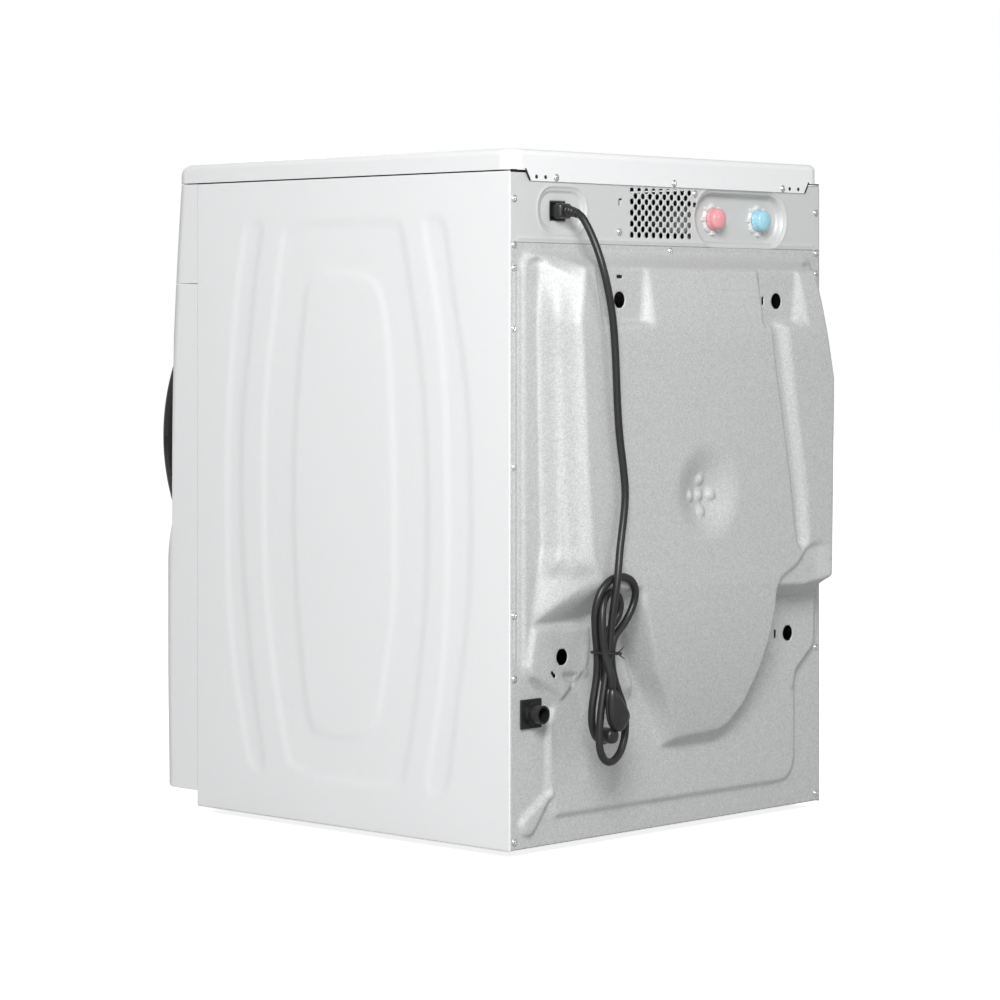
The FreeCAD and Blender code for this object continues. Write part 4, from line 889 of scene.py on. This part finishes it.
def relief():
    """The connector's tapered sleeve, with rings that let it flex."""
    count, start, length, sag = 41, 3, 26, 4.6
    ring_from, ring_to, ring_pitch = 0.18, 0.82, 0.16
    path, radii = [], []
    for k in range(count):
        t = k / (count - 1)
        path.append((CORD_DROP[0][0], start + length * t, 767.6 - sag * t * t))
        wave = math.sin(2 * math.pi * (t - ring_from) / ring_pitch)
        grooved = ring_from < t < ring_to and wave < -0.1
        radii.append(7.9 - 2.5 * t - (1.0 if grooved else 0.0))
    return swept("cord_sleeve", path, radii, "cord_black")


def signed_power(value, power):
    """value raised to a power, with its sign kept."""
    return math.copysign(abs(value) ** power, value)


def connector():
    """The socket that plugs into the mains inlet: a block with a waisted grip."""
    stations = [  # y, half width, half height
        (-21, 11.6, 9.0), (1, 11.6, 9.0), (2, 12.0, 9.4), (7, 11.6, 9.2), (9.5, 9.8, 8.0), (11, 8.4, 7.0),
    ]
    squareness, sides = 0.3, 40
    verts = []
    for y, half_x, half_z in stations:
        for k in range(sides):
            turn = 2 * math.pi * k / sides
            x = half_x * signed_power(math.cos(turn), squareness)
            z = half_z * signed_power(math.sin(turn), squareness)
            verts.append(place(INLET[0] + x, y, INLET[1] + z))
    faces = bands(len(stations), sides, flip=True)
    faces.append(list(range(sides)))
    faces.append(list(range(len(verts) - sides, len(verts)))[::-1])
    block = to_object("connector_block", verts, faces, "black_plastic")
    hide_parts("cord_connector")
    return block


PLUG_OUTLINE = [(207, 196), (197, 197), (174, 168), (171, 158), (180, 146), (193, 142), (207, 158)]
PLUG_STATIONS = [  # y, scale of the outline
    (69.8, 0.88), (71, 0.96), (73, 1.0), (74, 1.0), (74.4, 0.96), (75.6, 0.96), (76, 1.0), (79, 1.0),
    (82, 0.86), (84.5, 0.55),
]
BOSS_PROFILE = [(0.01, 56), (8.5, 56), (9.4, 57), (9.4, 70), (8.8, 72.5), (6.5, 74), (0.01, 74.4)]


def plug():
    """A flat moulded plug with a groove round its rim and a round boss at its foot."""
    outline = eased(PLUG_OUTLINE, 2)
    count = len(outline)
    x0, z0 = sum(x for x, _ in outline) / count, sum(z for _, z in outline) / count
    verts = []
    for y, scale in PLUG_STATIONS:
        verts += [place(x0 + (x - x0) * scale, y, z0 + (z - z0) * scale) for x, z in outline]
    faces = bands(len(PLUG_STATIONS), count)
    faces.append(list(range(count))[::-1])
    faces.append(list(range(len(verts) - count, len(verts))))
    body = to_object("plug_body", verts, faces, "black_plastic")
    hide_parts("power_plug")
    return body, lathed("plug_boss", BOSS_PROFILE, (193, 138), "black_plastic", sides=40)


TIE_CENTRE, TIE_HALF = (192, 59.5, 236.5), (17.5, 16.0)
TIE_SECTION = ((0.0, -1.6), (0.9, -1.4), (0.9, 1.4), (0.0, 1.6))
TIE_ENDS = [
    [(189, 75.5, 237), (187, 77.5, 240), (184, 78.5, 243), (180, 78, 245)],
    [(190, 75.5, 237), (187, 77.5, 234), (183, 78.5, 231), (178, 78, 229)],
]


def tie():
    """A flat band drawn round the hank, with two short twisted ends."""
    around, squareness, slope = 64, 0.75, 0.08
    x0, y0, z0 = TIE_CENTRE
    verts = []
    for k in range(around):
        c, n = math.cos(2 * math.pi * k / around), math.sin(2 * math.pi * k / around)
        x = x0 + TIE_HALF[0] * signed_power(c, squareness)
        y = y0 + TIE_HALF[1] * signed_power(n, squareness)
        for out, up in TIE_SECTION:
            verts.append(place(x + out * c, y + out * n, z0 + up + slope * (x - x0)))
    band = to_object("tie_band", verts, bands(around, len(TIE_SECTION), closed=True), "black_plastic")
    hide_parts("cord_tie")
    ends = []
    for k, path in enumerate(TIE_ENDS):
        ends.append(swept("tie_end_%d" % (k + 1), path, [1.4, 1.2, 1.1, 0.8], "black_plastic", 10))
    return [band] + ends


cord = make_cord()
relief()
connector()
plug()
tie()


# ---- studio -------------------------------------------------------------------------------
def area_light(name, location, target, size, power):
    """A square lamp turned towards a target."""
    data = bpy.data.lights.new(name, "AREA")
    data.shape = "SQUARE"
    data.size = size
    data.energy = power
    light = bpy.data.objects.new(name, data)
    light.location = location
    light.rotation_euler = (Vector(target) - Vector(location)).to_track_quat("-Z", "Y").to_euler()
    bpy.context.collection.objects.link(light)


def white_floor():
    """A pale floor that the camera alone sees glow, so that it meets the white background."""
    verts = [(-12, -12, 0), (12, -12, 0), (12, 12, 0), (-12, 12, 0)]
    mesh = bpy.data.meshes.new("floor")
    mesh.from_pydata(verts, [], [(0, 1, 2, 3)])
    floor = bpy.data.objects.new("floor", mesh)
    bpy.context.collection.objects.link(floor)
    material = surface("studio_floor", (0.5, 0.5, 0.5), 0.8, grain=30, vary=0.005, bump=0.0)
    tree = material.node_tree
    glow = tree.nodes.new("ShaderNodeEmission")
    glow.inputs["Strength"].default_value = 0.86
    lift = tree.nodes.new("ShaderNodeAddShader")
    tree.links.new(tree.nodes["Principled BSDF"].outputs["BSDF"], lift.inputs[0])
    tree.links.new(glow.outputs["Emission"], lift.inputs[1])
    seen = tree.nodes.new("ShaderNodeMixShader")
    tree.links.new(tree.nodes.new("ShaderNodeLightPath").outputs["Is Camera Ray"], seen.inputs["Fac"])
    tree.links.new(tree.nodes["Principled BSDF"].outputs["BSDF"], seen.inputs[1])
    tree.links.new(lift.outputs["Shader"], seen.inputs[2])
    tree.links.new(seen.outputs["Shader"], tree.nodes["Material Output"].inputs["Surface"])
    mesh.materials.append(material)


def white_world():
    """White to the camera, and a soft fill for everything else."""
    world = bpy.data.worlds.new("studio")
    world.use_nodes = True
    tree = world.node_tree
    light = tree.nodes["Background"]
    light.inputs["Color"].default_value = (1, 1, 1, 1)
    light.inputs["Strength"].default_value = 0.42
    seen = tree.nodes.new("ShaderNodeBackground")
    seen.inputs["Color"].default_value = (1, 1, 1, 1)
    mix = tree.nodes.new("ShaderNodeMixShader")
    path = tree.nodes.new("ShaderNodeLightPath")
    tree.links.new(path.outputs["Is Camera Ray"], mix.inputs["Fac"])
    tree.links.new(light.outputs["Background"], mix.inputs[1])
    tree.links.new(seen.outputs["Background"], mix.inputs[2])
    tree.links.new(mix.outputs["Shader"], tree.nodes["World Output"].inputs["Surface"])
    bpy.context.scene.world = world


white_floor()
white_world()
bpy.context.scene.view_settings.view_transform = "Standard"
BACK = (0.1, 0.3, 0.45)
area_light("key", (2.6, 2.5, 2.2), BACK, size=1.2, power=158)
area_light("back_fill", (-1.4, 3.6, 1.6), BACK, size=1.2, power=14)
area_light("front_fill", (-1.3, -3.2, 1.9), (0.0, 0.0, 0.45), size=1.6, power=62)
